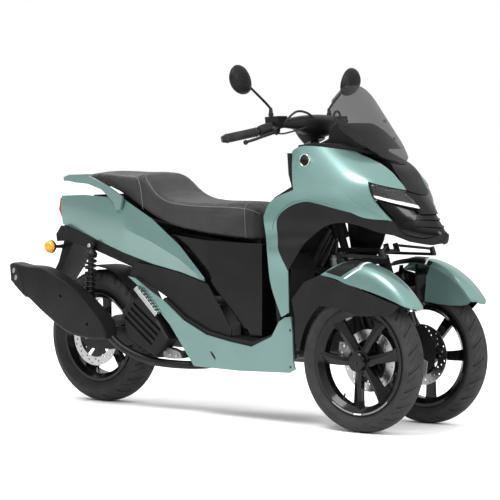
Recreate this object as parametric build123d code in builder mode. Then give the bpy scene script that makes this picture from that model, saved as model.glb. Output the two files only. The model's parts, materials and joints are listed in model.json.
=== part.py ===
"""Reverse trike: a leaning scooter with two front wheels and one rear wheel.

Millimetres.  +X forward, +Y to the rider's left, +Z up.  The origin is on the
floor under the middle of the overall length.
"""
from math import cos, radians, sin, tan
import os

from build123d import *

# ---------------------------------------------------------------- main sizes
overall_length = 1945
wheelbase = 1410
front_track = 385
front_tyre_r = 250
front_tyre_w = 90
rear_tyre_r = 256
rear_tyre_w = 130
front_rim_r = 190
rear_rim_r = 178
front_rim_w = 62
rear_rim_w = 96
rake_deg = 20
trail = 68
kingpin_y = 120
bar_half_width = 372
panel_t = 4
axle_r = 9
fit = 0.05
seat_gap = 0.3
disc_t = 4
front_disc_r = 110
rear_disc_r = 115

# The front tyres reach this far ahead of the origin; the muffler takes the rest.
front_reach = 972.5
tail_reach = overall_length - front_reach
front_x = front_reach - front_tyre_r
rear_x = front_x - wheelbase
wheel_y = front_track / 2
front_axle = (front_x, front_tyre_r)
rear_axle = (rear_x, rear_tyre_r)
all_width = (-400, 400)



def beside(offset):
    """Y on the right-hand side, this far outboard of the wheel's middle."""
    return -wheel_y - offset


# The steering shaft and both kingpins lean back by the rake, side by side.
rake = tan(radians(rake_deg))
bar_pivot_x, bar_pivot_z = 331, 1075


def steering_x(z):
    """X of the handlebar's steering axis at height z."""
    return bar_pivot_x + (bar_pivot_z - z) * rake


def kingpin_x(z):
    """X of both kingpin axes at height z."""
    return front_x + trail - z * rake


def raked(x_at, y, z):
    """Plane square to the steering axis where it crosses height z."""
    axis = (-sin(radians(rake_deg)), 0, cos(radians(rake_deg)))
    return Plane(origin=(x_at(z), y, z), x_dir=(cos(radians(rake_deg)), 0, sin(radians(rake_deg))), z_dir=axis)


def rise(z_low, z_high):
    """Length along the raked axis between two heights."""
    return (z_high - z_low) / cos(radians(rake_deg))


def mirrored(outline):
    """A half outline (x, y) closed by its mirror image in the centre plane."""
    return outline + [(x, -y) for x, y in reversed(outline)]


# Each of these adds to, cuts from or trims the part that is being built.
def side_prism(outline, y_low, y_high, mode=Mode.ADD):
    """Side outline (x, z) swept across from y_low to y_high."""
    with BuildSketch(Plane.XZ.offset(-y_high)) as section:
        with BuildLine():
            Polyline(*outline, close=True)
        make_face()
    extrude(section.sketch, amount=y_high - y_low, mode=mode)


def plan_prism(outline, z_low, z_high, mode=Mode.ADD):
    """Plan outline (x, y) swept up from z_low to z_high."""
    with BuildSketch(Plane.XY.offset(z_low)) as section:
        with BuildLine():
            Polyline(*outline, close=True)
        make_face()
    extrude(section.sketch, amount=z_high - z_low, mode=mode)


def rod(ends, radius, mode=Mode.ADD):
    """Round bar through the listed points, with ball joints at its corners."""
    for start, end in zip(ends, ends[1:]):
        start, end = Vector(*start), Vector(*end)
        with BuildSketch(Plane(origin=start, z_dir=end - start)) as section:
            Circle(radius)
        extrude(section.sketch, amount=(end - start).length, mode=mode)
    for corner in ends[1:-1]:
        with Locations(corner):
            Sphere(radius, mode=mode)


def cross_cylinder(x, z, radius, y_low, y_high, bore=0, mode=Mode.ADD):
    """Cylinder along Y, with an optional bore."""
    with BuildSketch(Plane.XZ.offset(-y_high)) as section:
        with Locations((x, z)):
            Circle(radius)
            if bore:
                Circle(bore, mode=Mode.SUBTRACT)
    extrude(section.sketch, amount=y_high - y_low, mode=mode)


def raked_post(x_at, y, z_low, z_high, radius, bore=0, mode=Mode.ADD):
    """Round post along the steering axis direction, with an optional bore."""
    with BuildSketch(raked(x_at, y, z_low)) as section:
        Circle(radius)
        if bore:
            Circle(bore, mode=Mode.SUBTRACT)
    extrude(section.sketch, amount=rise(z_low, z_high), mode=mode)


def panel(outline, y_mid, yaw, thickness):
    """Right-hand side panel whose outer face is y_mid out at x = 0 and widens forward by the yaw."""
    c, s = cos(radians(yaw)), sin(radians(yaw))
    with BuildSketch(Plane(origin=(0, -y_mid, 0), x_dir=(c, -s, 0), z_dir=(-s, -c, 0))) as section:
        with BuildLine():
            Polyline(*outline, close=True)
        make_face()
    extrude(section.sketch, amount=-thickness)


def save(built, name):
    """Write one finished node to its own file."""
    built.part.label = name
    export_step(built.part, f"parts/{name}.step")


def save_pair(right, name):
    """Write a right-hand node and its mirror image as two nodes."""
    save(right, f"{name}_right")
    with BuildPart() as left:
        mirror(right.part, about=Plane.XZ)
    save(left, f"{name}_left")


os.makedirs("parts", exist_ok=True)

# -------------------------------------------------------------- front cowling
# Level sections of the cowling's outer skin, one row each, nose to back:
# height, nose x, cheek x and y, lamp x and y, flank x and y, back y.
nose_sections = [
    # z, nose_x, cheek_x, cheek_y, lamp_x, lamp_y, flank_x, flank_y, back_y
    (1010, 560, 545, 85, 520, 135, 450, 158, 165),
    (940, 745, 725, 78, 620, 158, 500, 185, 192),
    (878, 808, 790, 68, 720, 163, 560, 205, 208),
    (810, 862, 845, 52, 768, 152, 600, 222, 232),
    (741, 912, 893, 42, 802, 130, 640, 214, 245),
    (690, 943, 925, 35, 835, 104, 680, 192, 245),
    (640, 925, 905, 30, 825, 90, 500, 238, 243),
    (380, 700, 690, 60, 670, 120, 480, 236, 238),
]
shield_back_x = 300


def nose_solid(inset, mode=Mode.ADD):
    """The cowling's outer shape, drawn in by an inset."""
    sections = []
    for z, nose_x, cheek_x, cheek_y, lamp_x, lamp_y, flank_x, flank_y, back_y in nose_sections:
        half = [
            (nose_x - inset, 0),
            (cheek_x - inset, cheek_y - inset),
            (lamp_x - inset, lamp_y - inset),
            (flank_x - inset, flank_y - inset),
            (shield_back_x, back_y - inset),
        ]
        with BuildSketch(Plane.XY.offset(z)) as level:
            with BuildLine():
                Polyline(*half, *[(x, -y) for x, y in reversed(half[1:])], close=True)
            make_face()
        sections.append(level.sketch)
    loft(sections, ruled=True, mode=mode)


with BuildPart() as nose_skin:
    nose_solid(0)
    nose_solid(panel_t, mode=Mode.SUBTRACT)

# Side outlines of the front panels, (x, z).  Neighbours share their edges.
lamp_top = (719, 878)
lamp_inner = (813, 848)
cowl_tip = (800, 741)
arch_top = (484, 804)
arch_left = (372, 738)
arch_foot = (427, 558)
teal_outline = [
    (388, 983), (470, 996), (541, 994), (659, 970), (745, 935), lamp_inner, lamp_top, cowl_tip, arch_top,
    arch_left, arch_foot, (430, 410), (396, 392), (345, 511), (330, 629), (312, 750),
    (342, 808), (431, 845), (411, 898),
]
arch_outline = [
    arch_top, cowl_tip, (815, 720), (805, 690), (715, 723), (656, 733), (564, 714), (478, 662),
    arch_foot, arch_left,
]
lamp_outline = [lamp_top, lamp_inner, (880, 800), (905, 775), cowl_tip]
beak_outline = [cowl_tip, (905, 775), (960, 700), (960, 680), (900, 640), (827, 655), (805, 690), (815, 720)]
nose_outline = [
    (700, 1010), (668, 967), (745, 935), (813, 848.3), (900, 800), (905, 775), (940, 800), (800, 1010),
]
# Half plan of the dark strip down the middle of the nose, (x, y).
strip_plan = mirrored([(500, 98), (640, 96), (813, 62), (890, 42), (990, 42)])
strip_z = (700, 1100)

with BuildPart() as front_cowl:
    add(nose_skin.part)
    side_prism(teal_outline, *all_width, mode=Mode.INTERSECT)
    plan_prism(strip_plan, *strip_z, mode=Mode.SUBTRACT)
save(front_cowl, "front_cowl")

with BuildPart() as arch_panels:
    add(nose_skin.part)
    side_prism(arch_outline, *all_width, mode=Mode.INTERSECT)
save(arch_panels, "arch_panels")

lamp_inset, lamp_depth = 2, 24
with BuildPart() as headlamps:
    nose_solid(lamp_inset)
    nose_solid(lamp_depth, mode=Mode.SUBTRACT)
    side_prism(lamp_outline, *all_width, mode=Mode.INTERSECT)
    plan_prism(strip_plan, *strip_z, mode=Mode.SUBTRACT)
save(headlamps, "headlamps")

with BuildPart() as nose_lower:
    add(nose_skin.part)
    side_prism(beak_outline, *all_width, mode=Mode.INTERSECT)
save(nose_lower, "nose_lower")

with BuildPart() as nose_panel:
    add(nose_skin.part)
    side_prism(nose_outline, *all_width, mode=Mode.INTERSECT)
    plan_prism(strip_plan, *strip_z, mode=Mode.INTERSECT)
save(nose_panel, "nose_panel")

# ------------------------------------------------- cockpit, shield, screen
# The dash lies on the cowling's top edge and carries a hood for the meters.
dash_outline = [
    (400, 986), (470, 996.3), (541, 994.3), (659, 970.3), (667.7, 967.5), (662, 982), (560, 1008), (470, 1012),
    (405, 1004),
]
dash_plan = [(390, 160), (460, 158), (540, 136), (600, 102), (640, 66), (667.7, 24)]
hood_outline = [(430, 1004), (495, 1030), (525, 1066), (560, 1066), (640, 1000), (630, 986), (440, 1000)]
hood_hollow = [(436, 990), (448, 1007), (500, 1026), (529, 1060), (556, 1060), (622, 1003), (618, 990)]
hood_half = 88
with BuildPart() as dash_panel:
    side_prism(hood_outline, -hood_half, hood_half)
    side_prism(hood_hollow, panel_t - hood_half, hood_half - panel_t, mode=Mode.SUBTRACT)
    side_prism(dash_outline, *all_width)
    plan_prism(mirrored(dash_plan), 900, 1100, mode=Mode.INTERSECT)
save(dash_panel, "dash_panel")

# Clear screen: part of a leaning drum, trimmed to its outline.
screen_foot = (756.9, 932.9)
screen_top = (532, 1217)
screen_r = 263
screen_axis = Vector(screen_top[0] - screen_foot[0], 0, screen_top[1] - screen_foot[1])
screen_length = screen_axis.length
screen_out = Vector(screen_axis.Z, 0, -screen_axis.X).normalized()
screen_centre = Vector(screen_foot[0], 0, screen_foot[1]) - screen_out * screen_r
# Rows up the screen: share of its length, half width.
screen_rows = [(0.02, 16), (0.12, 72), (0.36, 128), (0.58, 154), (0.76, 152), (0.89, 126), (0.97, 76), (1.0, 42)]
with BuildPart() as windscreen:
    with BuildSketch(Plane(origin=screen_centre, x_dir=(0, 1, 0), z_dir=screen_axis)):
        Circle(screen_r)
        Circle(screen_r - panel_t, mode=Mode.SUBTRACT)
    extrude(amount=screen_length)
    with BuildSketch(Plane(origin=screen_centre, x_dir=(0, 1, 0), z_dir=screen_out)):
        with BuildLine():
            screen_edge = [(half, share * screen_length) for share, half in screen_rows]
            Polyline(*screen_edge, *[(-half, up) for half, up in reversed(screen_edge)], close=True)
        make_face()
    extrude(amount=screen_r + 1, mode=Mode.INTERSECT)
save(windscreen, "windscreen")

# Inner shield that faces the rider's knees, down to the floorboard, with the
# cover round the steering head and two bosses that sit against the down tube.
inner_outline = [
    (389.9, 975), (396, 900), (412, 845), (330, 806), (306, 748), (317, 630), (333, 512), (345, 420), (345, 338),
    (333, 338), (325, 420), (320, 512), (304, 630), (292, 748), (315, 815), (396, 856), (382, 900), (376, 975),
]
shield_half = 188
column_half = 58
column_outline = [
    (376, 985), (330, 985), (322, 850), (296, 800), (302, 794), (327, 846), (335, 980), (376, 980),
]
column_cheek = [(390, 985), (330, 985), (322, 850), (298, 800), (330, 806), (412, 845), (396, 900)]
shield_boss = [(344, 380), (349.9, 380), (349.9, 410), (344, 410)]
boss_half = 12
with BuildPart() as inner_shield:
    side_prism(column_cheek, -column_half - 5, -column_half)
    mirror(about=Plane.XZ)
    side_prism(inner_outline, -shield_half, shield_half)
    plan_prism(mirrored([(280, column_half), (430, column_half)]), 800, 1000, mode=Mode.SUBTRACT)
    side_prism(column_outline, -column_half, column_half)
    side_prism(shield_boss, -boss_half, boss_half)
    raked_post(steering_x, 0, 950, 1010, 28, mode=Mode.SUBTRACT)
save(inner_shield, "inner_shield")

# Guard behind the front wheels, from the arch down to the floor.
guard_outline = [
    (391, 616), (414, 560), (406, 480), (399, 380), (399, 250), (395, 250), (395, 380), (402, 480), (410, 558),
    (387, 614),
]
guard_half = wheel_y + 16.5
guard_gap = mirrored([(380, 72), (420, 72)])
guard_boss = [(387.9, 320), (396, 320), (396, 350), (387.9, 350)]
with BuildPart() as wheel_guard:
    side_prism(guard_outline, -guard_half, guard_half)
    plan_prism(guard_gap, 500, 640, mode=Mode.SUBTRACT)
    side_prism(guard_boss, -boss_half, boss_half)
save(wheel_guard, "wheel_guard")

# ---------------------------------------------------- lower body and floor
lower_outline = [
    (-419, 504), (-380, 498), (-300, 455), (-225, 420), (-120, 352), (0, 305), (120, 287), (230, 275),
    (330, 318), (365, 372), (394, 390), (426, 394), (434, 330), (437, 235), (446, 206), (416, 192),
    (170, 183), (-64, 185), (-130, 260), (-190, 330), (-330, 450),
]
body_yaw = 4
body_y = 197
with BuildPart() as lower_panels:
    panel(lower_outline, body_y, body_yaw, 8)
    mirror(about=Plane.XZ)
save(lower_panels, "lower_panels")

floor_outline = [
    (340, 330), (230, 292), (110, 302), (0, 320), (-120, 366), (-225, 432), (-235, 424), (-130, 350),
    (0, 303), (110, 282), (230, 272), (300, 264), (328, 300),
]
floor_plan = mirrored([(350, 213.1), (-240, 171.85)])
# Half plan of the tunnel under the seat, (x, y): open below the covers only.
tunnel_plan = mirrored([(-300, 150), (95, 150), (95, 104), (138, 104)])
rail_y = 92
rail_z = 240
tube_r = 16
floor_foot = [(190, rail_z + tube_r + seat_gap), (215, rail_z + tube_r + seat_gap), (215, 280), (190, 280)]
with BuildPart() as floorboard:
    side_prism(floor_outline, *all_width)
    plan_prism(floor_plan, 200, 500, mode=Mode.INTERSECT)
    plan_prism(tunnel_plan, 200, 500, mode=Mode.SUBTRACT)
    side_prism(floor_foot, -rail_y - boss_half, boss_half - rail_y)
    side_prism(floor_foot, rail_y - boss_half, rail_y + boss_half)
save(floorboard, "floorboard")

cover_outline = [
    (-425, 512), (-405, 556), (-300, 548), (-150, 525), (-13, 492), (60, 400), (112, 330), (112, 302.2),
    (0, 320.4), (-120, 366.5), (-225, 432.5), (-300, 466),
]
with BuildPart() as side_covers:
    panel(cover_outline, 178, body_yaw, 6)
    mirror(about=Plane.XZ)
save(side_covers, "side_covers")

# Cover under the seat's front, a wedge in plan that narrows forward.
saddle_plan = [(196, 50), (180, 92), (0, 156), (-215, 150)]
saddle_inner = [(x - 5, y - 5) for x, y in saddle_plan[:3]] + [(-230, 145)]
saddle_side = [
    (-215, 668), (-60, 652), (196, 640), (200, 430), (196, 295.2), (138, 300), (126, 326), (112, 330),
    (60, 400), (-13, 500), (-100, 590),
]
with BuildPart() as centre_cover:
    plan_prism(mirrored(saddle_plan), 300, 700)
    plan_prism(mirrored(saddle_inner), 290, 710, mode=Mode.SUBTRACT)
    side_prism(saddle_side, *all_width, mode=Mode.INTERSECT)
save(centre_cover, "centre_cover")

# --------------------------------------------------------- tail and seat
# Upright sections of the tail blade, one row each, back to front.
tail_sections = [
    # x, z_low, z_mid, z_high, y_low, y_mid, y_high
    (-835, 690, 762, 800, 88, 98, 92),
    (-700, 655, 745, 806, 108, 120, 112),
    (-467, 590, 690, 796, 135, 152, 140),
    (-300, 552, 640, 722, 150, 170, 160),
    (-150, 529, 580, 628, 165, 181, 176),
    (-20, 500, 505, 512, 182, 186, 184),
]
with BuildPart() as tail_cowl:
    for x, z_low, z_mid, z_high, y_low, y_mid, y_high in tail_sections:
        with BuildSketch(Plane.YZ.offset(x)):
            with BuildLine():
                Polyline((-y_low, z_low), (-y_mid, z_mid), (-y_high, z_high), (panel_t - y_high, z_high),
                         (panel_t - y_mid, z_mid), (panel_t - y_low, z_low), close=True)
            make_face()
    loft(ruled=True)
    mirror(about=Plane.XZ)
save(tail_cowl, "tail_cowl")

tail_end_x = tail_sections[0][0] - seat_gap
tail_lamp_outline = [(tail_end_x, 700), (-858, 745), (-850, 790), (tail_end_x, 796)]
with BuildPart() as tail_lamp:
    side_prism(tail_lamp_outline, -86, 86)
save(tail_lamp, "tail_lamp")

grab_outline = [
    (-832, 872), (-800, 882), (-690, 880), (-560, 842), (-462, 803), (-478, 754), (-505, 752), (-520, 782),
    (-600, 828), (-690, 848), (-780, 852), (-832, 858),
]
grab_y, grab_yaw, grab_t = 256.3, 12, 9
bridge_outline = [(-832, 872), (-800, 882), (-770, 882), (-780, 856), (-832, 858)]
carrier_hole_r = 4.25
carrier_x, carrier_pitch = -785, 100
with BuildPart() as grab_rail:
    panel(grab_outline, grab_y, grab_yaw, grab_t)
    mirror(about=Plane.XZ)
    side_prism(bridge_outline, -86, 86)
    with BuildSketch(Plane.XY.offset(840)):
        with Locations((carrier_x, -carrier_pitch / 2), (carrier_x, carrier_pitch / 2)):
            Circle(carrier_hole_r)
    extrude(amount=60, mode=Mode.SUBTRACT)
save(grab_rail, "grab_rail")

# Cover under the tail: two side bands, the tongue for the plate, and the
# holes where the dampers' top bolts pass through.
shock_y = 130
shock_eye_r, shock_bolt_r = 16, 7
shock_top, shock_low = (-640, 612), (-655, 372)
under_band = [
    (-404, 562), (-640, 637.9), (-816, 683.9), (-842, 650), (-838, 622), (-790, 628), (-640, 596), (-420, 530),
]
tongue = [(-760, 668), (-816, 682), (-842, 650), (-880, 540), (-938, 450), (-928, 440), (-860, 520), (-806, 610)]
tongue_head = [(-842, 650), (-816, 682), (-780, 672), (-790, 640)]
band_half, band_inner, tongue_half = 118, 84, 64
with BuildPart() as under_tail:
    side_prism(under_band, -band_half, -band_inner)
    mirror(about=Plane.XZ)
    side_prism(tongue, -tongue_half, tongue_half)
    side_prism(tongue_head, -band_half, band_half)
    cross_cylinder(*shock_top, shock_bolt_r + fit, -200, 200, mode=Mode.SUBTRACT)
save(under_tail, "under_tail")

lamp_spot = (-857, 600)
with BuildPart() as indicators:
    with BuildSketch(Plane.YZ.offset(lamp_spot[0] - 14)):
        with Locations((-132, lamp_spot[1])):
            Ellipse(17, 14)
    extrude(amount=28)
    with BuildSketch(Plane.XZ.offset(tongue_half)):
        with Locations(lamp_spot):
            Circle(6)
    extrude(amount=56)
    mirror(about=Plane.XZ)
save(indicators, "indicators")

# Upright sections of the seat, back to front.
seat_sections = [
    # x, half_width, z_top, z_shoulder, z_edge
    (-715, 62, 886, 878, 862),
    (-600, 100, 896, 876, 850),
    (-480, 122, 892, 862, 808),
    (-400, 136, 874, 844, 772),
    (-310, 148, 834, 806, 730),
    (-220, 156, 800, 776, 702),
    (-110, 156, 792, 762, 682),
    (40, 134, 795, 752, 664),
    (110, 104, 786, 734, 658),
    (158, 60, 742, 702, 655),
]
with BuildPart() as seat:
    for x, half_width, z_top, z_shoulder, z_edge in seat_sections:
        with BuildSketch(Plane.YZ.offset(x)):
            with BuildLine():
                Polyline((-half_width * 0.6, z_top), (-half_width, z_shoulder), (-half_width, z_edge),
                         (half_width, z_edge), (half_width, z_shoulder), (half_width * 0.6, z_top))
                ThreePointArc((half_width * 0.6, z_top), (0, z_top + 3), (-half_width * 0.6, z_top))
            make_face()
    loft(ruled=True)
save(seat, "seat")

hinge = (176, 646)
pan_outline = [
    (-690, 858), (-600, 849.7), (-480, 807.7), (-400, 771.7), (-310, 729.7), (-220, 701.7), (-110, 681.7),
    (40, 663.7), (110, 657.7), (150, 655), (150, 640), (40, 652), (-110, 670), (-220, 690), (-310, 718),
    (-400, 760), (-480, 796), (-600, 838), (-690, 846),
]
pan_half = 62
hinge_half = 28
hinge_pin_r = 4
hinge_arm = [(146, 650), (146, 640), (hinge[0], hinge[1] - 7), (hinge[0], hinge[1] + 7)]
with BuildPart() as seat_pan:
    side_prism(pan_outline, -pan_half, pan_half)
    side_prism(hinge_arm, -hinge_half, hinge_half)
    cross_cylinder(*hinge, 8, -hinge_half, hinge_half)
    cross_cylinder(*hinge, hinge_pin_r + fit, -hinge_half - 2, hinge_half + 2, mode=Mode.SUBTRACT)
save(seat_pan, "seat_pan")

bin_wall = 4
bin_half = 100.7
bin_outline = [(105, 640), (105, 450), (-190, 432), (-190, 672)]
bin_inner = [
    (105 - bin_wall, 700), (105 - bin_wall, 450 + bin_wall), (bin_wall - 190, 432 + bin_wall), (bin_wall - 190, 700),
]
with BuildPart() as storage_bin:
    side_prism(bin_outline, -bin_half, bin_half)
    side_prism(bin_inner, bin_wall - bin_half, bin_half - bin_wall, mode=Mode.SUBTRACT)
save(storage_bin, "storage_bin")

# ------------------------------------------------------------- main frame
head_low, head_high = 668, 968
stem_r = 15
frame_path = [
    (440, -18, 700), (370, -60, 540), (368, -rail_y, 300), (330, -rail_y, rail_z), (-40, -rail_y, rail_z),
    (-150, -rail_y - 25, 420), (-230, -rail_y - 25, 640), (-560, -rail_y + 4, 705), (-790, -66, 735),
]
spine_path = [(468, 0, 760), (372, 0, 560), (368, 0, 300), (330, 0, rail_z), (0, 0, rail_z)]
engine_half = 74
engine_lug = [(-76.7, -100, 300), (-76.7, -engine_half - seat_gap, 300)]
hinge_lug = [(150, 628), (164, 620), (190.7, 640), (186, 656), (166, 656)]
hinge_stay = [(168, -35, 632), (140, -35, 560), (126, -60, 400), (126, -rail_y, rail_z)]
shock_lug = [(-654, 600), (-626, 600), (-622, 705), (-658, 705)]
linkage_x = kingpin_x(560)
linkage_arm = [(376, -56, 548), (linkage_x - 43, -16, 560)]
stand_pivot = (-180, 212)
stand_bolt_r = 6
stand_bracket = [(-196, 202), (-164, 202), (-60, 228), (-60, 250), (-150, 262)]
# The side stand's bolt leans so that the stand's foot swings out as it drops.
side_splay = 15
side_axis = Vector(0, cos(radians(side_splay)), sin(radians(side_splay)))
side_pivot = Vector(60, 136, 214)
with BuildPart() as main_frame:
    rod(frame_path, tube_r)
    rod(hinge_stay, 7)
    rod(linkage_arm, 11)
    rod(engine_lug, 9)
    side_prism(hinge_lug, -40, -30)
    side_prism(shock_lug, seat_gap - band_inner, 8 - band_inner)
    cross_cylinder(*shock_top, shock_bolt_r, -142, 8 - band_inner)
    side_prism(stand_bracket, -88, -80)
    mirror(about=Plane.XZ)
    rod(spine_path, 19)
    raked_post(steering_x, 0, head_low, head_high, 27)
    for x, z in ((330, rail_z), (0, rail_z), (-560, 705)):
        cross_cylinder(x, z, tube_r - 4, -rail_y, rail_y)
    raked_post(steering_x, 0, head_low - 5, head_high + 5, stem_r + fit, mode=Mode.SUBTRACT)
    cross_cylinder(*hinge, hinge_pin_r, -40, 40)
    cross_cylinder(*stand_pivot, stand_bolt_r, -88, 88)
    rod([(60, rail_y, 236), tuple(side_pivot - side_axis * 9)], 10)
    rod([tuple(side_pivot - side_axis * 14), tuple(side_pivot + side_axis * 20)], stand_bolt_r)
save(main_frame, "main_frame")

# ------------------------------------------------------ engine and rear end
engine_outline = [(-60, 252), (-60, 330), (-120, 398), (-330, 392), (-345, 262), (-300, 238), (-90, 236)]
with BuildPart() as engine_block:
    side_prism(engine_outline, -engine_half, engine_half)
save(engine_block, "engine_block")

# Drive case on the left, from the crankshaft back to the rear axle, with the
# rear axle itself and a lug for the left damper.
case_y = (76, 146)
case_outline = [
    (-212, 262), (-212, 330), (-270, 372), (-380, 366), (-660, 338), (-690, 330), (-690, 182), (-560, 222),
    (-380, 228), (-250, 232),
]
case_bevel = 9
lug_y = (102, 113.7)
shock_foot = [(-673, 320), (-637, 320), (-640, 382), (-650, 388), (-660, 388), (-670, 382)]
with BuildPart() as drive_case:
    side_prism(case_outline, *case_y)
    cross_cylinder(*rear_axle, 76, *case_y)
    chamfer(drive_case.faces().sort_by(Axis.Y)[-1].edges(), case_bevel)
    cross_cylinder(*rear_axle, axle_r, -112, case_y[0] + 1)
    side_prism(shock_foot, *lug_y)
    cross_cylinder(*shock_low, shock_bolt_r, lug_y[0], 142)
save(drive_case, "drive_case")

arm_outline = [(-346, 320), (-346, 262), (-560, 214), (-690, 218), (-722, 256), (-700, 292), (-560, 300)]
arm_y = (-112, -86)
arm_root = [(-346, 320), (-346, 262), (-375, 262), (-375, 320)]
arm_pad = [(-346, 320), (-346, 262), (-320, 262), (-320, 320)]
right_foot = [(-673, 280), (-637, 280), (-640, 382), (-650, 388), (-660, 388), (-670, 382)]
with BuildPart() as swing_arm:
    side_prism(arm_outline, *arm_y)
    side_prism(arm_root, arm_y[0], -engine_half)
    side_prism(arm_pad, arm_y[0], -engine_half - seat_gap)
    side_prism(right_foot, -lug_y[1], -lug_y[0])
    cross_cylinder(*shock_low, shock_bolt_r, -142, -lug_y[0])
    cross_cylinder(*rear_axle, axle_r + fit, -120, -80, mode=Mode.SUBTRACT)
save(swing_arm, "swing_arm")

# Louvred cover of the radiator on the right.
cooler_outline = [(-432, 376), (-336, 436), (-312, 426), (-194, 279), (-259, 211), (-400, 268)]
cooler_y = (-192, -124)
cooler_leg = [(-310, 390), (-250, 330), (-250, 270), (-310, 270)]
louvres, louvre_w, louvre_step, louvre_depth = 4, 13, 29, 10
louvre_start, louvre_end = (-398, 358), (-262, 262)
with BuildPart() as radiator_cover:
    side_prism(cooler_outline, *cooler_y)
    chamfer(radiator_cover.faces().sort_by(Axis.Y)[0].edges(), 7)
    for row in range(louvres):
        up = row * louvre_step * 0.62 - 14
        slot = [(louvre_start[0] + up * 0.8, louvre_start[1] + up), (louvre_end[0] + up * 0.8, louvre_end[1] + up),
                (louvre_end[0] + up * 0.8, louvre_end[1] + up + louvre_w),
                (louvre_start[0] + up * 0.8, louvre_start[1] + up + louvre_w)]
        side_prism(slot, cooler_y[0], cooler_y[0] + louvre_depth, mode=Mode.SUBTRACT)
    side_prism(cooler_leg, cooler_y[1], -engine_half - seat_gap)
save(radiator_cover, "radiator_cover")

muffler_y = (-242, -166)
muffler_front = -467
# Side outline: share of the muffler's length back from its front end, height.
muffler_shape = [
    (1, 530), (0.975, 540), (0.857, 530), (0.639, 526), (0.342, 455), (0.091, 355), (0.006, 300), (0, 266),
    (0.184, 262), (0.396, 279), (0.639, 345), (0.801, 403), (0.837, 405), (0.987, 470),
]
muffler_outline = [(muffler_front - share * (tail_reach + muffler_front), z) for share, z in muffler_shape]
muffler_bevel = 11
header_path = [
    (-490, -196, 284), (-430, -180, 232), (-320, -150, 186), (-190, -144, 180), (-110, -90, 180), (-84, -40, 184),
    (-84, -40, 235.7),
]
with BuildPart() as exhaust:
    side_prism(muffler_outline, *muffler_y)
    chamfer(exhaust.faces().filter_by(Axis.Y).edges(), muffler_bevel)
    rod(header_path, 16)
    rod([(-640, -170, 290), (-640, -lug_y[1] - seat_gap, 290)], 8)
save(exhaust, "exhaust")

# Rear dampers: eyes on the bolts above and below, spring body between.
eye_y = (-141, 2 * -shock_y + 141.6)
with BuildPart() as rear_shocks:
    rod([(-642, -shock_y, 582), (-652, -shock_y, 404)], 24)
    rod([(shock_top[0], -shock_y, shock_top[1] - 10), (-641, -shock_y, 580)], 10)
    rod([(shock_low[0], -shock_y, shock_low[1] + 10), (-652, -shock_y, 406)], 10)
    cross_cylinder(*shock_top, shock_eye_r, *eye_y)
    cross_cylinder(*shock_low, shock_eye_r, -141, -lug_y[1] - seat_gap)
    cross_cylinder(*shock_top, shock_bolt_r + fit, -150, -110, mode=Mode.SUBTRACT)
    cross_cylinder(*shock_low, shock_bolt_r + fit, -150, -110, mode=Mode.SUBTRACT)
    mirror(about=Plane.XZ)
save(rear_shocks, "rear_shocks")

hugger_r = rear_tyre_r + 16
hugger_sector = [rear_axle, (-350, 420), (-400, 560), (-640, 600), (-760, 560)]
hugger_foot = [(-455, 310.2), (-432, 312.4), (-432, 384), (-455, 384)]
with BuildPart() as rear_hugger:
    with BuildSketch(Plane.XZ.offset(-70)):
        with Locations(rear_axle):
            Circle(hugger_r + panel_t)
            Circle(hugger_r, mode=Mode.SUBTRACT)
    extrude(amount=140)
    side_prism(hugger_sector, -71, 71, mode=Mode.INTERSECT)
    side_prism(hugger_foot, -100, -67)
save(rear_hugger, "rear_hugger")

# ------------------------------------------------------------ front linkage
pillar_low, pillar_high = 520, 600
pillar_r = 22
beam_rise = [(pillar_low + 18, -pillar_r), (pillar_low + 18, pillar_r), (pillar_high - 14, -pillar_r),
             (pillar_high - 14, pillar_r)]
link_block = [
    (linkage_x - 18, 524), (linkage_x + 10, 524), (linkage_x + 10, 596), (linkage_x - 40, 596),
    (linkage_x - 40, 540),
]
with BuildPart() as tilt_linkage:
    raked_post(kingpin_x, -kingpin_y, pillar_low, pillar_high, pillar_r)
    mirror(about=Plane.XZ)
    for z, reach in beam_rise:
        x = kingpin_x(z) + reach
        side_prism([(x - 5, z - 10), (x + 5, z - 10), (x + 5, z + 10), (x - 5, z + 10)], -kingpin_y, kingpin_y)
    side_prism(link_block, -22, 22)
    for y in (-kingpin_y, kingpin_y):
        raked_post(kingpin_x, y, pillar_low - 9, pillar_high + 9, stem_r + fit, mode=Mode.SUBTRACT)
save(tilt_linkage, "tilt_linkage")

# ------------------------------------------------------------------- wheels
bead_clear = 6.3


def wheel_section(centre, outward):
    """Upright plane through the axle: local X outwards along the axle, local Y along the radius."""
    return Plane(origin=centre, x_dir=(0, outward, 0), z_dir=(0, 0, 1))


def wheel_face(centre, outward, offset):
    """Plane square to the axle, offset outwards from the wheel's middle; local X forward."""
    x, y, z = centre
    return Plane(origin=(x, y + outward * offset, z), x_dir=(1, 0, 0), z_dir=(0, outward, 0))


def tyre(centre, outward, radius, width, rim_r, rim_w):
    """Tyre section turned about the axle; its bead lies inside the rim's edges."""
    half, seat_half = width / 2, rim_w / 2 - bead_clear
    bead_low, bead_high = rim_r - 12, rim_r + 1
    wall_r = rim_r - 8 + 0.45 * (radius - rim_r + 8)
    shoulder_r = radius - 0.156 * (radius - rim_r + 8)
    with BuildSketch(wheel_section(centre, outward)) as section:
        with BuildLine():
            Polyline((half, wall_r), (seat_half, bead_high), (seat_half, bead_low), (-seat_half, bead_low),
                     (-seat_half, bead_high), (-half, wall_r))
            ThreePointArc((-half, wall_r), (-half * 0.72, shoulder_r), (0, radius))
            ThreePointArc((0, radius), (half * 0.72, shoulder_r), (half, wall_r))
        make_face()
    revolve(section.sketch, axis=Axis(centre, (0, 1, 0)))


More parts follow.
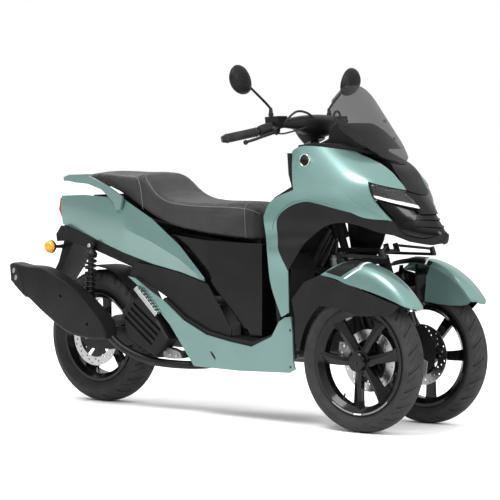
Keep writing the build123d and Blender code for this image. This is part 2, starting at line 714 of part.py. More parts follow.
def rim(centre, outward, outer_r, width, hub_r, hub_low, hub_high, spokes, spoke_at, cap):
    """Rim, hub and spokes; spokes lists their angles from straight ahead."""
    half = width / 2
    with BuildSketch(wheel_section(centre, outward)) as section:
        with BuildLine():
            Polyline((half, outer_r), (half - 6, outer_r), (half - 6, outer_r - 14), (half - 20, outer_r - 24),
                     (20 - half, outer_r - 24), (6 - half, outer_r - 14), (6 - half, outer_r), (-half, outer_r),
                     (-half, outer_r - 18), (16 - half, outer_r - 32), (half - 16, outer_r - 32),
                     (half, outer_r - 18), close=True)
        make_face()
    revolve(section.sketch, axis=Axis(centre, (0, 1, 0)))
    with BuildSketch(wheel_face(centre, outward, hub_low)) as hub:
        Circle(hub_r)
    extrude(hub.sketch, amount=hub_high - hub_low)
    for angle in spokes:
        out = Vector(cos(radians(angle)), 0, sin(radians(angle)))
        root = Vector(*centre) + Vector(0, outward * spoke_at, 0)
        with BuildSketch(Plane(origin=root + out * (hub_r - 6), x_dir=(0, 1, 0), z_dir=out)) as inner_end:
            Rectangle(20, 36)
        with BuildSketch(Plane(origin=root + out * (outer_r - 28), x_dir=(0, 1, 0), z_dir=out)) as outer_end:
            Rectangle(16, 24)
        loft([inner_end.sketch, outer_end.sketch], ruled=True)
    with BuildSketch(wheel_face(centre, outward, hub_low - 1)) as bore:
        Circle(axle_r + fit)
    extrude(bore.sketch, amount=hub_high - hub_low + 2 - cap, mode=Mode.SUBTRACT)


def disc(centre, outward, outer_r, inner_r, offset, bore):
    """Drilled brake disc."""
    with BuildSketch(wheel_face(centre, outward, offset)) as section:
        Circle(outer_r)
        Circle(bore, mode=Mode.SUBTRACT)
        with PolarLocations((outer_r + inner_r) / 2, 24):
            Circle(4, mode=Mode.SUBTRACT)
    extrude(section.sketch, amount=disc_t)


right_centre = (front_x, -wheel_y, front_tyre_r)
rear_centre = (rear_x, 0, rear_tyre_r)
front_hub_low, rear_hub_low = -34, -56
with BuildPart() as front_tyre:
    tyre(right_centre, -1, front_tyre_r, front_tyre_w, front_rim_r, front_rim_w)
save_pair(front_tyre, "front_tyre")
with BuildPart() as front_rim:
    rim(right_centre, -1, front_rim_r, front_rim_w, 30, front_hub_low, 34, (124, 59, 6, -41, -102, 180), 16, 8)
save_pair(front_rim, "front_rim")
with BuildPart() as front_disc:
    disc(right_centre, -1, front_disc_r, 85, front_hub_low - disc_t, axle_r + 12)
save_pair(front_disc, "front_disc")
with BuildPart() as rear_tyre:
    tyre(rear_centre, 1, rear_tyre_r, rear_tyre_w, rear_rim_r, rear_rim_w)
save(rear_tyre, "rear_tyre")
with BuildPart() as rear_rim:
    rim(rear_centre, 1, rear_rim_r, rear_rim_w, 34, rear_hub_low, 70, (18, 90, 162, 234, 306), 10, 0)
save(rear_rim, "rear_rim")
with BuildPart() as rear_disc:
    disc(rear_centre, 1, rear_disc_r, 90, rear_hub_low - disc_t, axle_r + 14)
save(rear_disc, "rear_disc")

# ------------------------------------------------------- forks and fenders
leg_spread = 30
crown_z = 500
lower_leg_r, upper_leg_r = 17, 13
# Both steering arms reach this far ahead of their axes, and the tie rods'
# pins stand this far to the side, so the rods keep their length as they turn.
arm_reach = 212
pin_side = 28
pin_r = 10
arm_z = (609, 619)


def front_leg_x(z):
    return front_x + leg_spread - (z - front_tyre_r) * rake


def rear_leg_x(z):
    return front_x - leg_spread - (z - front_tyre_r) * rake


def outer_pin_x(z):
    """X of a tie rod's outer pin at height z."""
    return kingpin_x(z) + arm_reach


def inner_pin_x(z):
    """X of a tie rod's inner pin at height z."""
    return steering_x(z) + arm_reach


outer_pin_y = kingpin_y + pin_side
pin_x = outer_pin_x(arm_z[1])
steer_arm = [
    (kingpin_x(610) - 16, -kingpin_y + 12), (pin_x - 14, -outer_pin_y + 11), (pin_x + 6, -outer_pin_y + 11),
    (pin_x + 10, -outer_pin_y), (pin_x + 6, -outer_pin_y - 11), (pin_x - 14, -outer_pin_y - 11),
    (kingpin_x(610) - 16, -kingpin_y - 14),
]
disc_y = -wheel_y - front_hub_low
caliper_outline = [(588, 262), (600, 318), (646, 316), (664, 280), (640, 250), (600, 244)]
caliper_stay = [(640, 262), (640, 300), (700, 310), (700, 262)]
with BuildPart() as fork:
    side_prism(caliper_outline, beside(-26.5), beside(-54.5))
    with BuildSketch(Plane.XZ.offset(-disc_y - disc_t - 2)):
        with Locations(front_axle):
            Circle(front_disc_r + 4)
    extrude(amount=disc_t + 4, mode=Mode.SUBTRACT)
    side_prism(caliper_stay, beside(-54.5), -kingpin_y)
    raked_post(kingpin_x, -kingpin_y, crown_z, 622, stem_r)
    for leg_x in (front_leg_x, rear_leg_x):
        raked_post(leg_x, -kingpin_y, 380, crown_z, upper_leg_r)
        raked_post(leg_x, -kingpin_y, 225, 400, lower_leg_r)
    with BuildSketch(raked(kingpin_x, -kingpin_y, crown_z - 4)):
        with Locations((20, 0)):
            RectangleRounded(110, 38, 10)
    extrude(amount=22)
    cross_cylinder(*front_axle, 30, -kingpin_y - 16, -kingpin_y + 16)
    cross_cylinder(*front_axle, axle_r, -wheel_y - 24, -kingpin_y)
    plan_prism(steer_arm, *arm_z)
    raked_post(outer_pin_x, -outer_pin_y, arm_z[0] + 4, arm_z[1] + 5, pin_r)
save_pair(fork, "fork")

fender_y = (beside(57.5), beside(-42.5))
ring_centre = (684, 261)
ring_r = 340
flank = 110
fender_t = 4
flap_r = 264
skirt_y = (beside(56), beside(51.5))
fender_room = (beside(67.5), beside(-52.5))


def ring(centre, profile):
    """Section of (y, radius) points turned about a cross axis."""
    with BuildSketch(Plane(origin=(centre[0], 0, centre[1]), x_dir=(0, 1, 0), z_dir=(0, 0, 1))) as section:
        with BuildLine():
            Polyline(*profile, close=True)
        make_face()
    revolve(section.sketch, axis=Axis((centre[0], 0, centre[1]), (0, 1, 0)))


y_out, y_in = fender_y
fender_profile = [
    (y_out, ring_r - flank), (y_out + 6, ring_r - 26), (y_out + 34, ring_r - 3), (y_in - 30, ring_r),
    (y_in, ring_r - 20), (y_in, ring_r - 20 - fender_t), (y_in - 30, ring_r - fender_t),
    (y_out + 34, ring_r - 3 - fender_t), (y_out + 6 + fender_t, ring_r - 28), (y_out + fender_t, ring_r - flank),
]
fender_plan = [
    (540, beside(67.5)), (890, beside(63.5)), (945, beside(43.5)), (972, beside(7.5)), (966, beside(-22.5)),
    (930, beside(-47.5)), (540, beside(-47.5)),
]
fender_side = [(571, 549), (691, 522), (972, 438), (980, 470), (900, 640), (700, 680), (673, 601)]
with BuildPart() as fender:
    ring(ring_centre, fender_profile)
    side_prism(fender_side, *fender_room, mode=Mode.INTERSECT)
    plan_prism(fender_plan, 400, 620, mode=Mode.INTERSECT)
save_pair(fender, "fender")

# Dark skirt below the fender, with the flap that follows the tyre behind.
flap_profile = [
    (skirt_y[0], flap_r - 22), (skirt_y[0], flap_r - 6), (skirt_y[0] + 8, flap_r), (y_in - 8, flap_r),
    (y_in, flap_r - 6), (y_in, flap_r - 10), (y_in - 8, flap_r - 4), (skirt_y[1] + 5, flap_r - 4),
    (skirt_y[1], flap_r - 8), (skirt_y[1], flap_r - 22),
]
skirt_outline = [
    (571, 549), (691, 522), (918, 454), (880, 418), (753, 412), (620, 440), (552, 438), (528, 413), (502, 377),
    (484, 337), (473, 300), (463, 300), (459, 400), (445, 456), (500, 520),
]
flap_sector = [front_axle, (430, 280), (430, 460), (520, 540), (600, 600)]
skirt_neck = [(615, 484), (645, 484), (645, 515), (640, 571), (625, 569), (615, 515)]
skirt_stay = [(615, 502), (645, 502), (645, 512), (615, 512)]
crown_side = -kingpin_y - 19
with BuildPart() as fender_skirt:
    ring(front_axle, flap_profile)
    side_prism(flap_sector, *fender_room, mode=Mode.INTERSECT)
    side_prism(skirt_outline, *skirt_y)
    side_prism(skirt_neck, y_in - 4, y_in)
    side_prism(skirt_stay, y_in - 2, crown_side - seat_gap)
save_pair(fender_skirt, "fender_skirt")

# ------------------------------------------------------ handlebar assembly
grip_in, grip_out = (306, -250, 1054), (226, -bar_half_width, 1024)
bar_r = 11
bar_path = [
    grip_out, grip_in, (350, -110, 1087), (350, 110, 1087), (306, 250, 1054), (226, bar_half_width, 1024),
]
crank_z = (622, 634)
crank_x = inner_pin_x(crank_z[1])
crank_plan = mirrored([(470, 16), (crank_x - 34, 14), (crank_x - 16, pin_side + 10), (crank_x + 8, pin_side + 10)])
with BuildPart() as handlebar:
    rod(bar_path, bar_r)
    raked_post(steering_x, 0, 618, 1090, stem_r)
    plan_prism(crank_plan, *crank_z)
    for y in (-pin_side, pin_side):
        raked_post(inner_pin_x, y, crank_z[0] + 4, crank_z[1] + 5, pin_r)
save(handlebar, "handlebar")

grip_axis = Vector(*grip_out) - Vector(*grip_in)
with BuildPart() as grips:
    with BuildSketch(Plane(origin=Vector(*grip_out) - grip_axis * 0.9, z_dir=grip_axis)):
        Circle(17)
        Circle(bar_r + seat_gap, mode=Mode.SUBTRACT)
    extrude(amount=grip_axis.length * 0.84)
    mirror(about=Plane.XZ)
save(grips, "grips")

lever_path = [(352, -222, 1050), (338, -270, 1036), (304, -332, 1014)]
reservoir = [(288, 1066), (284, 1104), (346, 1108), (346, 1066)]
with BuildPart() as brake_levers:
    rod([(330, -212, 1062), (352, -212, 1052)], 14)
    side_prism(reservoir, -202, -150)
    rod(bar_path[1:3], bar_r + seat_gap, mode=Mode.SUBTRACT)
    rod(lever_path, 5)
    with Locations(lever_path[-1]):
        Sphere(9)
    mirror(about=Plane.XZ)
save(brake_levers, "brake_levers")

mirror_centre, mirror_lean = (-318, 1234), -40
with BuildPart() as mirrors:
    with BuildSketch(Plane.YZ.offset(262)):
        with Locations(mirror_centre):
            Ellipse(62, 48, rotation=mirror_lean)
    with BuildSketch(Plane.YZ.offset(276)):
        with Locations(mirror_centre):
            Ellipse(60, 46, rotation=mirror_lean)
    with BuildSketch(Plane.YZ.offset(292)):
        with Locations(mirror_centre):
            Ellipse(40, 29, rotation=mirror_lean)
    loft(ruled=True)
    rod([(286, -169, 1105.1), (286, -169, 1132), (276, -275, 1210)], 5)
    mirror(about=Plane.XZ)
save(mirrors, "mirrors")

bar_cover_outline = [(292, 1060), (300, 1112), (380, 1122), (425, 1092), (400, 1050), (330, 1046)]
with BuildPart() as bar_cover:
    side_prism(bar_cover_outline, -120, 120)
    chamfer(bar_cover.faces().filter_by(Axis.Y).edges(), 10)
    rod(bar_path, bar_r + seat_gap, mode=Mode.SUBTRACT)
    raked_post(steering_x, 0, 960, 1120, stem_r + seat_gap, mode=Mode.SUBTRACT)
save(bar_cover, "bar_cover")

# One tie rod each side, from the crank's pin out to the steering arm's pin.
rod_low_in, rod_low_out = crank_z[1] + 5 + seat_gap, arm_z[1] + 5 + seat_gap
eye_height = 15
with BuildPart() as tie_rod:
    raked_post(inner_pin_x, -pin_side, rod_low_in, rod_low_in + eye_height, pin_r)
    raked_post(outer_pin_x, -outer_pin_y, rod_low_out, rod_low_out + eye_height, pin_r)
    rod([(inner_pin_x(rod_low_in + 9), -pin_side, rod_low_in + 9),
         (outer_pin_x(rod_low_out + 9), -outer_pin_y, rod_low_out + 9)], 5)
save_pair(tie_rod, "tie_rod")

# ------------------------------------------------------------------- stands
stand_leg_y = 104
foot = (-378, 197)
with BuildPart() as centre_stand:
    rod([(stand_pivot[0] - 9, -66, stand_pivot[1]), (-330, -stand_leg_y, 204), (foot[0], -stand_leg_y, foot[1])], 9)
    mirror(about=Plane.XZ)
    cross_cylinder(-300, 205, 8, -98, 98)
    cross_cylinder(*stand_pivot, 11, -76, 76)
    cross_cylinder(*stand_pivot, stand_bolt_r + fit, -78, 78, mode=Mode.SUBTRACT)
save(centre_stand, "centre_stand")

side_heel = side_pivot + side_axis * 10
with BuildPart() as side_stand:
    rod([(side_heel.X - 8, side_heel.Y, side_heel.Z), (-130, 150, 206)], 7)
    rod([tuple(side_pivot + side_axis), tuple(side_pivot + side_axis * 19)], 11)
    rod([tuple(side_pivot), tuple(side_pivot + side_axis * 20)], stand_bolt_r + fit, mode=Mode.SUBTRACT)
save(side_stand, "side_stand")
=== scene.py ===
import json
import math

import bmesh
import bpy
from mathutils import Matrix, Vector


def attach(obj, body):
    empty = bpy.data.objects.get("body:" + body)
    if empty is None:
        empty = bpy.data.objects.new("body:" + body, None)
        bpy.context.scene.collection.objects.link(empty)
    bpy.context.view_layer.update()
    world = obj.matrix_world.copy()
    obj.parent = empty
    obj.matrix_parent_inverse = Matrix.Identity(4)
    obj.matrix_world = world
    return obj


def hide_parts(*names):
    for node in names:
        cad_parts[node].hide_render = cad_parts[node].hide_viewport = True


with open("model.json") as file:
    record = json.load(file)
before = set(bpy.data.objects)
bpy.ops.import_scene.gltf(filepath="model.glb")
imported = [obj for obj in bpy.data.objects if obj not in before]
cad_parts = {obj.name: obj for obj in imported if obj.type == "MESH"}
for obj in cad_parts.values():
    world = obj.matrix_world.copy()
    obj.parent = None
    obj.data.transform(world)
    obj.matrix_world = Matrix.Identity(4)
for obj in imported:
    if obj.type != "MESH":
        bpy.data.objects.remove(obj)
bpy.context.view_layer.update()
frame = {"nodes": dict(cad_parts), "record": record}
nodes = frame["nodes"]
scene = bpy.context.scene
MM = 0.001


# ------------------------------------------------------------ shader helpers
class Value:
    """A shader socket with arithmetic, so that maths reads as a Python expression."""

    def __init__(self, paint, socket):
        self.paint, self.socket = paint, socket

    def _math(self, kind, first, second=None):
        values = {0: first} if second is None else {0: first, 1: second}
        return self.paint.node("ShaderNodeMath", {"operation": kind}, values)

    def __add__(self, other): return self._math("ADD", self, other)
    def __radd__(self, other): return self._math("ADD", other, self)
    def __sub__(self, other): return self._math("SUBTRACT", self, other)
    def __rsub__(self, other): return self._math("SUBTRACT", other, self)
    def __mul__(self, other): return self._math("MULTIPLY", self, other)
    def __rmul__(self, other): return self._math("MULTIPLY", other, self)
    def __truediv__(self, other): return self._math("DIVIDE", self, other)
    def __pow__(self, other): return self._math("POWER", self, other)
    def above(self, other): return self._math("GREATER_THAN", self, other)
    def below(self, other): return self._math("LESS_THAN", self, other)
    def least(self, other): return self._math("MINIMUM", self, other)
    def most(self, other): return self._math("MAXIMUM", self, other)
    def size(self): return self._math("ABSOLUTE", self)
    def part(self): return self._math("FRACT", self)


class Paint:
    """One material: a Principled shader with its constants, driven by a few nodes."""

    def __init__(self, name, **constants):
        self.material = bpy.data.materials.new(name)
        self.material.use_nodes = True
        self.tree = self.material.node_tree
        self.shader = self.tree.nodes["Principled BSDF"]
        for key, value in constants.items():
            self.shader.inputs[key.replace("_", " ")].default_value = value

    def node(self, kind, settings=None, values=None, output=0):
        made = self.tree.nodes.new(kind)
        for key, value in (settings or {}).items():
            setattr(made, key, value)
        for key, value in (values or {}).items():
            if isinstance(value, Value):
                self.tree.links.new(value.socket, made.inputs[key])
            else:
                made.inputs[key].default_value = value
        return Value(self, made.outputs[output])

    def place(self):
        return self.node("ShaderNodeTexCoord", output=3)

    def split(self, vector):
        parts = self.node("ShaderNodeSeparateXYZ", values={0: vector}).socket.node
        return [Value(self, parts.outputs[i]) for i in range(3)]

    def noise(self, scale, detail=3.0, rough=0.5, stretch=None):
        where = self.place()
        if stretch:
            where = self.node("ShaderNodeMapping", values={"Vector": where, "Scale": stretch})
        return self.node("ShaderNodeTexNoise", values={"Vector": where, "Scale": scale, "Detail": detail,
                                                       "Roughness": rough})

    def cells(self, scale, feature="F1"):
        return self.node("ShaderNodeTexVoronoi", {"feature": feature},
                         {"Vector": self.place(), "Scale": scale})

    def shades(self, factor, stops):
        """Colour ramp; stops is a list of (place, grey or (r, g, b))."""
        ramp = self.node("ShaderNodeValToRGB", values={0: factor})
        points = ramp.socket.node.color_ramp.elements
        while len(points) < len(stops):
            points.new(0.5)
        for point, (place, colour) in zip(points, stops):
            colour = (colour,) * 3 if isinstance(colour, (int, float)) else colour
            point.position, point.color = place, (*colour, 1)
        return ramp

    def blend(self, factor, first, second):
        mixed = self.node("ShaderNodeMix", {"data_type": "RGBA"}).socket.node
        for index, value in ((0, factor), (6, first), (7, second)):
            if isinstance(value, Value):
                self.tree.links.new(value.socket, mixed.inputs[index])
            else:
                mixed.inputs[index].default_value = value if index == 0 else (*value, 1)
        return Value(self, mixed.outputs[2])

    def set(self, name, value):
        self.tree.links.new(value.socket, self.shader.inputs[name])
        return self

    def bump(self, height, distance, strength=1.0):
        self.set("Normal", self.node("ShaderNodeBump", values={"Height": height, "Distance": distance,
                                                              "Strength": strength}))
        return self


# ------------------------------------------------------------------ materials
def paint_teal(name="teal_paint", dark_inside=True):
    p = Paint(name, Metallic=0.5, Roughness=0.34, Coat_Weight=0.5, Coat_Roughness=0.12)
    flake = p.cells(2600.0)
    drift = p.noise(5.0, 2.0)
    teal = p.shades(drift * 0.5 + flake * 0.35, [(0.2, (0.098, 0.182, 0.166)), (0.62, (0.128, 0.222, 0.206))])
    across = p.split(p.place())[1]
    facing = p.split(p.node("ShaderNodeTexCoord", output=1))[1] * across / (across.size() + 0.001)
    p.set("Base Color", p.blend(facing.below(-0.55), teal, (0.008, 0.008, 0.008)) if dark_inside else teal)
    p.set("Roughness", p.noise(90.0) * 0.08 + 0.29)
    return p.bump(p.noise(420.0, 2.0), 0.00006)


def grained_plastic():
    p = Paint("dark_plastic", Roughness=0.5, Specular_IOR_Level=0.16)
    grain = p.cells(1100.0) + p.noise(1900.0) * 0.5
    p.set("Base Color", p.shades(p.noise(14.0, 4.0), [(0.3, 0.0045), (0.7, 0.008)]))
    p.set("Roughness", p.noise(40.0) * 0.14 + 0.42)
    return p.bump(grain, 0.00012, 0.6)


def gloss_black():
    p = Paint("gloss_black", Roughness=0.16, Specular_IOR_Level=0.12, Coat_Weight=0.22, Coat_Roughness=0.05)
    p.set("Base Color", p.shades(p.noise(20.0), [(0.35, 0.002), (0.7, 0.004)]))
    p.set("Roughness", p.noise(60.0, 4.0) * 0.12 + 0.14)
    return p.bump(p.noise(260.0, 2.0), 0.00004)


def black_metal():
    p = Paint("black_metal", Metallic=0.1, Roughness=0.4, Specular_IOR_Level=0.25)
    p.set("Base Color", p.shades(p.noise(30.0, 5.0), [(0.3, 0.003), (0.72, 0.007)]))
    p.set("Roughness", p.noise(75.0, 5.0) * 0.25 + 0.28)
    return p.bump(p.noise(700.0, 3.0), 0.00008)


def tyre_rubber():
    p = Paint("tyre", Roughness=0.72, Specular_IOR_Level=0.2)
    scuff = p.noise(18.0, 6.0, 0.6)
    p.set("Base Color", p.shades(scuff, [(0.3, 0.014), (0.75, 0.032)]))
    p.set("Roughness", scuff * 0.2 + 0.6)
    return p.bump(p.noise(1500.0, 3.0), 0.00015)


def soft_rubber():
    p = Paint("rubber", Roughness=0.75, Specular_IOR_Level=0.2)
    p.set("Base Color", p.shades(p.noise(25.0, 5.0), [(0.3, 0.012), (0.7, 0.024)]))
    p.set("Roughness", p.noise(120.0) * 0.15 + 0.66)
    return p.bump(p.cells(1400.0), 0.0001)


def seat_vinyl():
    p = Paint("seat_cover", Roughness=0.55, Specular_IOR_Level=0.3)
    grain = p.cells(900.0, "SMOOTH_F1") + p.noise(2300.0) * 0.35
    p.set("Base Color", p.shades(p.noise(9.0, 5.0), [(0.3, 0.015), (0.7, 0.024)]))
    p.set("Roughness", p.noise(30.0, 4.0) * 0.16 + 0.46)
    return p.bump(grain, 0.00022, 0.75)


def brushed_steel():
    p = Paint("steel", Metallic=1.0, Roughness=0.3)
    brush = p.noise(220.0, 3.0, stretch=(1.0, 1.0, 14.0))
    p.set("Base Color", p.shades(brush, [(0.25, 0.32), (0.75, 0.46)]))
    p.set("Roughness", brush * 0.2 + 0.2)
    return p.bump(brush, 0.00005)


def cast_alloy():
    p = Paint("alloy", Metallic=0.85, Roughness=0.45)
    cast = p.noise(600.0, 4.0)
    p.set("Base Color", p.shades(p.noise(20.0, 4.0), [(0.3, 0.22), (0.72, 0.27)]))
    p.set("Roughness", p.noise(50.0) * 0.2 + 0.36)
    return p.bump(cast, 0.0002)


def bright_chrome():
    p = Paint("chrome", Metallic=1.0, Roughness=0.12)
    p.set("Base Color", p.shades(p.noise(40.0), [(0.3, 0.68), (0.7, 0.8)]))
    p.set("Roughness", p.noise(90.0, 4.0) * 0.1 + 0.07)
    return p


def smoked_screen():
    p = Paint("smoke_screen", Roughness=0.05, Specular_IOR_Level=0.12, IOR=1.49, Alpha=0.7)
    p.set("Base Color", p.shades(p.noise(3.0), [(0.3, 0.014), (0.7, 0.02)]))
    p.set("Alpha", p.node("ShaderNodeLayerWeight", values={"Blend": 0.35}, output=1) * 0.2 + 0.56)
    p.set("Roughness", p.noise(120.0) * 0.03 + 0.03)
    return p


def clear_lens():
    p = Paint("lamp_lens", Roughness=0.03, Specular_IOR_Level=0.7, Alpha=0.3)
    p.set("Base Color", p.shades(p.noise(6.0), [(0.3, 0.02), (0.7, 0.04)]))
    p.set("Alpha", p.node("ShaderNodeLayerWeight", values={"Blend": 0.3}, output=1) * 0.4 + 0.3)
    return p


def coloured_lens(name, dark, bright):
    p = Paint(name, Roughness=0.14, Coat_Weight=0.6)
    facets = p.cells(190.0, "DISTANCE_TO_EDGE")
    p.set("Base Color", p.shades(facets * 6.0, [(0.1, dark), (0.6, bright)]))
    p.set("Roughness", facets * 0.3 + 0.1)
    return p.bump(facets, 0.0006)


def white_light():
    p = Paint("white_light", Roughness=0.3)
    glow = p.noise(60.0) * 0.1 + 0.85
    p.set("Base Color", p.shades(glow, [(0.3, 0.6), (0.8, 0.75)]))
    return p


makers = {
    "teal_paint": paint_teal, "dark_plastic": grained_plastic, "gloss_black": gloss_black,
    "black_metal": black_metal, "tyre": tyre_rubber, "rubber": soft_rubber, "seat_cover": seat_vinyl,
    "steel": brushed_steel, "alloy": cast_alloy, "chrome": bright_chrome, "smoke_screen": smoked_screen,
    "lamp_lens": clear_lens,
    "red_lens": lambda: coloured_lens("red_lens", (0.10, 0.002, 0.002), (0.36, 0.01, 0.008)),
    "amber_lens": lambda: coloured_lens("amber_lens", (0.62, 0.17, 0.004), (0.95, 0.36, 0.015)),
    "white_light": white_light,
}
paints = {name: make().material for name, make in makers.items()}


# ------------------------------------------------- pieces taken from the frame
def round_edges(piece, width, segments, angle):
    """Bevel and smooth shading for a piece."""
    for face in piece.data.polygons:
        face.use_smooth = True
    if width:
        edge = piece.modifiers.new("edge", "BEVEL")
        edge.width, edge.segments = width, segments
        edge.limit_method, edge.angle_limit = "ANGLE", math.radians(angle)
        edge.harden_normals = True


def soften(node, width):
    """Round a frame piece's edges by modifiers; its own mesh stays as it is."""
    piece = nodes[node]
    weld = piece.modifiers.new("weld", "WELD")
    weld.merge_threshold = 0.00002
    flat = piece.modifiers.new("flat", "DECIMATE")
    flat.decimate_type = "DISSOLVE"
    flat.angle_limit = math.radians(1.5)
    round_edges(piece, width, 3, 24)


slot_of = {part["node"]: part["material_slot"] for part in frame["record"]["subparts"]}
for name, piece in nodes.items():
    piece.data.materials.clear()
    piece.data.materials.append(paints[slot_of[name]])
    if piece.data.attributes.get("custom_normal"):
        piece.data.attributes.remove(piece.data.attributes["custom_normal"])
usual_edge = 0.0018
edge_width = {"windscreen": 0.0012, "headlamps": 0.0015, "exhaust": 0.004, "bar_cover": 0.005,
              "centre_cover": 0.003, "front_disc_right": 0.0004, "front_disc_left": 0.0004,
              "rear_disc": 0.0004}
for name in nodes:
    soften(name, edge_width.get(name, usual_edge))


# --------------------------------------------------------------- mesh helpers
def finish_piece(obj, body, slot, bevel=0.0, subdiv=0, node=None, material=None):
    """Give a new piece its finish, its rounding and its body, and hide the frame node that it stands for."""
    obj.data.materials.append(material or paints[slot])
    "lamp_lens" if slot == "white_light" else slot
    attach(obj, body)
    if obj.type == "MESH":
        round_edges(obj, bevel, 2, 28)
        if subdiv:
            obj.modifiers.new("round", "SUBSURF").levels = subdiv
            obj.modifiers["round"].render_levels = subdiv
    if node:
        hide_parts(*([node] if isinstance(node, str) else node))
    return obj


def mesh_object(name, points, faces):
    """Mesh from points in millimetres."""
    mesh = bpy.data.meshes.new(name)
    mesh.from_pydata([[c * MM for c in p] for p in points], [], faces)
    form = bmesh.new()
    form.from_mesh(mesh)
    bmesh.ops.remove_doubles(form, verts=form.verts, dist=1e-6)
    bmesh.ops.recalc_face_normals(form, faces=form.faces)
    form.to_mesh(mesh)
    form.free()
    obj = bpy.data.objects.new(name, mesh)
    scene.collection.objects.link(obj)
    return obj


def add_piece(name, shape, body, slot, **finish):
    """New piece from points and faces."""
    return finish_piece(mesh_object(name, *shape), body, slot, **finish)


def rings_mesh(rings, round_trip=False):
    """Points and faces of a skin through closed rings that have the same number of points."""
    count, rows = len(rings[0]), len(rings)
    points = [p for ring in rings for p in ring]
    faces = []
    for r in range(rows if round_trip else rows - 1):
        for c in range(count):
            a, b = r * count + c, r * count + (c + 1) % count
            up = ((r + 1) % rows) * count
            faces.append((a, b, up + (c + 1) % count, up + c))
    if not round_trip:
        faces.append(tuple(range(count))[::-1])
        faces.append(tuple((rows - 1) * count + c for c in range(count)))
    return points, faces


def turn_angles(steps):
    """Even angles round a full turn."""
    return [2 * math.pi * k / steps for k in range(steps)]


def about(centre, angle, radius, y):
    """Point at a radius from an axle along Y."""
    return (centre[0] + radius * math.cos(angle), centre[1] + y, centre[2] + radius * math.sin(angle))


def turned(profile, centre, steps=96):
    """Points and faces of a closed (y, radius) profile turned about an axle along Y."""
    rings = [[about(centre, a, r, y) for y, r in profile] for a in turn_angles(steps)]
    return rings_mesh(rings, round_trip=True)


def washer(low, high, inner_r, outer_r):
    """Profile of a flat ring for turned()."""
    return [(low, inner_r), (low, outer_r), (high, outer_r), (high, inner_r)]


def on_side(outward, *distances):
    """Two distances from the centre plane as a low and a high y on one side."""
    return sorted(outward * distance for distance in distances)


def mirrored(outward, points):
    """Points given for the left, on the side that is asked for."""
    return [(x, outward * y, z) for x, y, z in points]


def circle(x, z, radius, steps):
    """Side outline of a round hole."""
    return [(x + radius * math.cos(a), z + radius * math.sin(a)) for a in turn_angles(steps)]


def both(first, second):
    """Two lists of points and faces as one."""
    shift = len(first[0])
    return first[0] + second[0], first[1] + [tuple(i + shift for i in f) for f in second[1]]


def flipped(shape):
    """Mirror image in the centre plane."""
    return [(x, -y, z) for x, y, z in shape[0]], [f[::-1] for f in shape[1]]


def prism(outline, y_low, y_high):
    """Side outline (x, z) between two y."""
    return rings_mesh([[(x, y_low, z) for x, z in outline], [(x, y_high, z) for x, z in outline]])


def smooth_line(points, steps=6):
    """Catmull-Rom line through the points."""
    out, last = [], len(points) - 1
    for i in range(last):
        p = [points[min(max(i + k, 0), last)] for k in (-1, 0, 1, 2)]
        for s in range(steps):
            t = s / steps
            out.append(tuple(0.5 * (2 * b + (c - a) * t + (2 * a - 5 * b + 4 * c - d) * t * t
                                    + (3 * b - a - 3 * c + d) * t ** 3) for a, b, c, d in zip(*p)))
    return out + [tuple(points[-1])]


def tube(name, points, radius, body, slot, material=None):
    """Round tube along points in millimetres."""
    data = bpy.data.curves.new(name, "CURVE")
    data.dimensions, data.bevel_depth, data.bevel_resolution = "3D", radius * MM, 3
    data.use_fill_caps = True
    spline = data.splines.new("NURBS")
    spline.points.add(len(points) - 1)
    for at, p in zip(spline.points, points):
        at.co = (*[c * MM for c in p], 1)
    spline.order_u, spline.use_endpoint_u = 3, True
    data.resolution_u = 8
    obj = bpy.data.objects.new(name, data)
    scene.collection.objects.link(obj)
    return finish_piece(obj, body, slot, material=material)


def settle(obj):
    """Apply an object's modifiers to its mesh."""
    bpy.context.view_layer.update()
    done = bpy.data.meshes.new_from_object(obj.evaluated_get(bpy.context.evaluated_depsgraph_get()))
    obj.modifiers.clear()
    old, obj.data = obj.data, done
    bpy.data.meshes.remove(old)


def combine(obj, operation, name, shape):
    """Boolean of a piece with a hidden tool shape."""
    tool = mesh_object(name, *shape)
    cut = obj.modifiers.new("cut", "BOOLEAN")
    cut.operation, cut.object, cut.solver = operation, tool, "EXACT"
    settle(obj)
    bpy.data.objects.remove(tool)
    assert len(obj.data.polygons) > 3, f"{name} left nothing of {obj.name}"


sides = (("right", -1), ("left", 1))
front_x, front_z, wheel_y = 722.5, 250.0, 192.5
rear_x, rear_z = -687.5, 256.0
kingpin_y, rake = 120, math.radians(20)


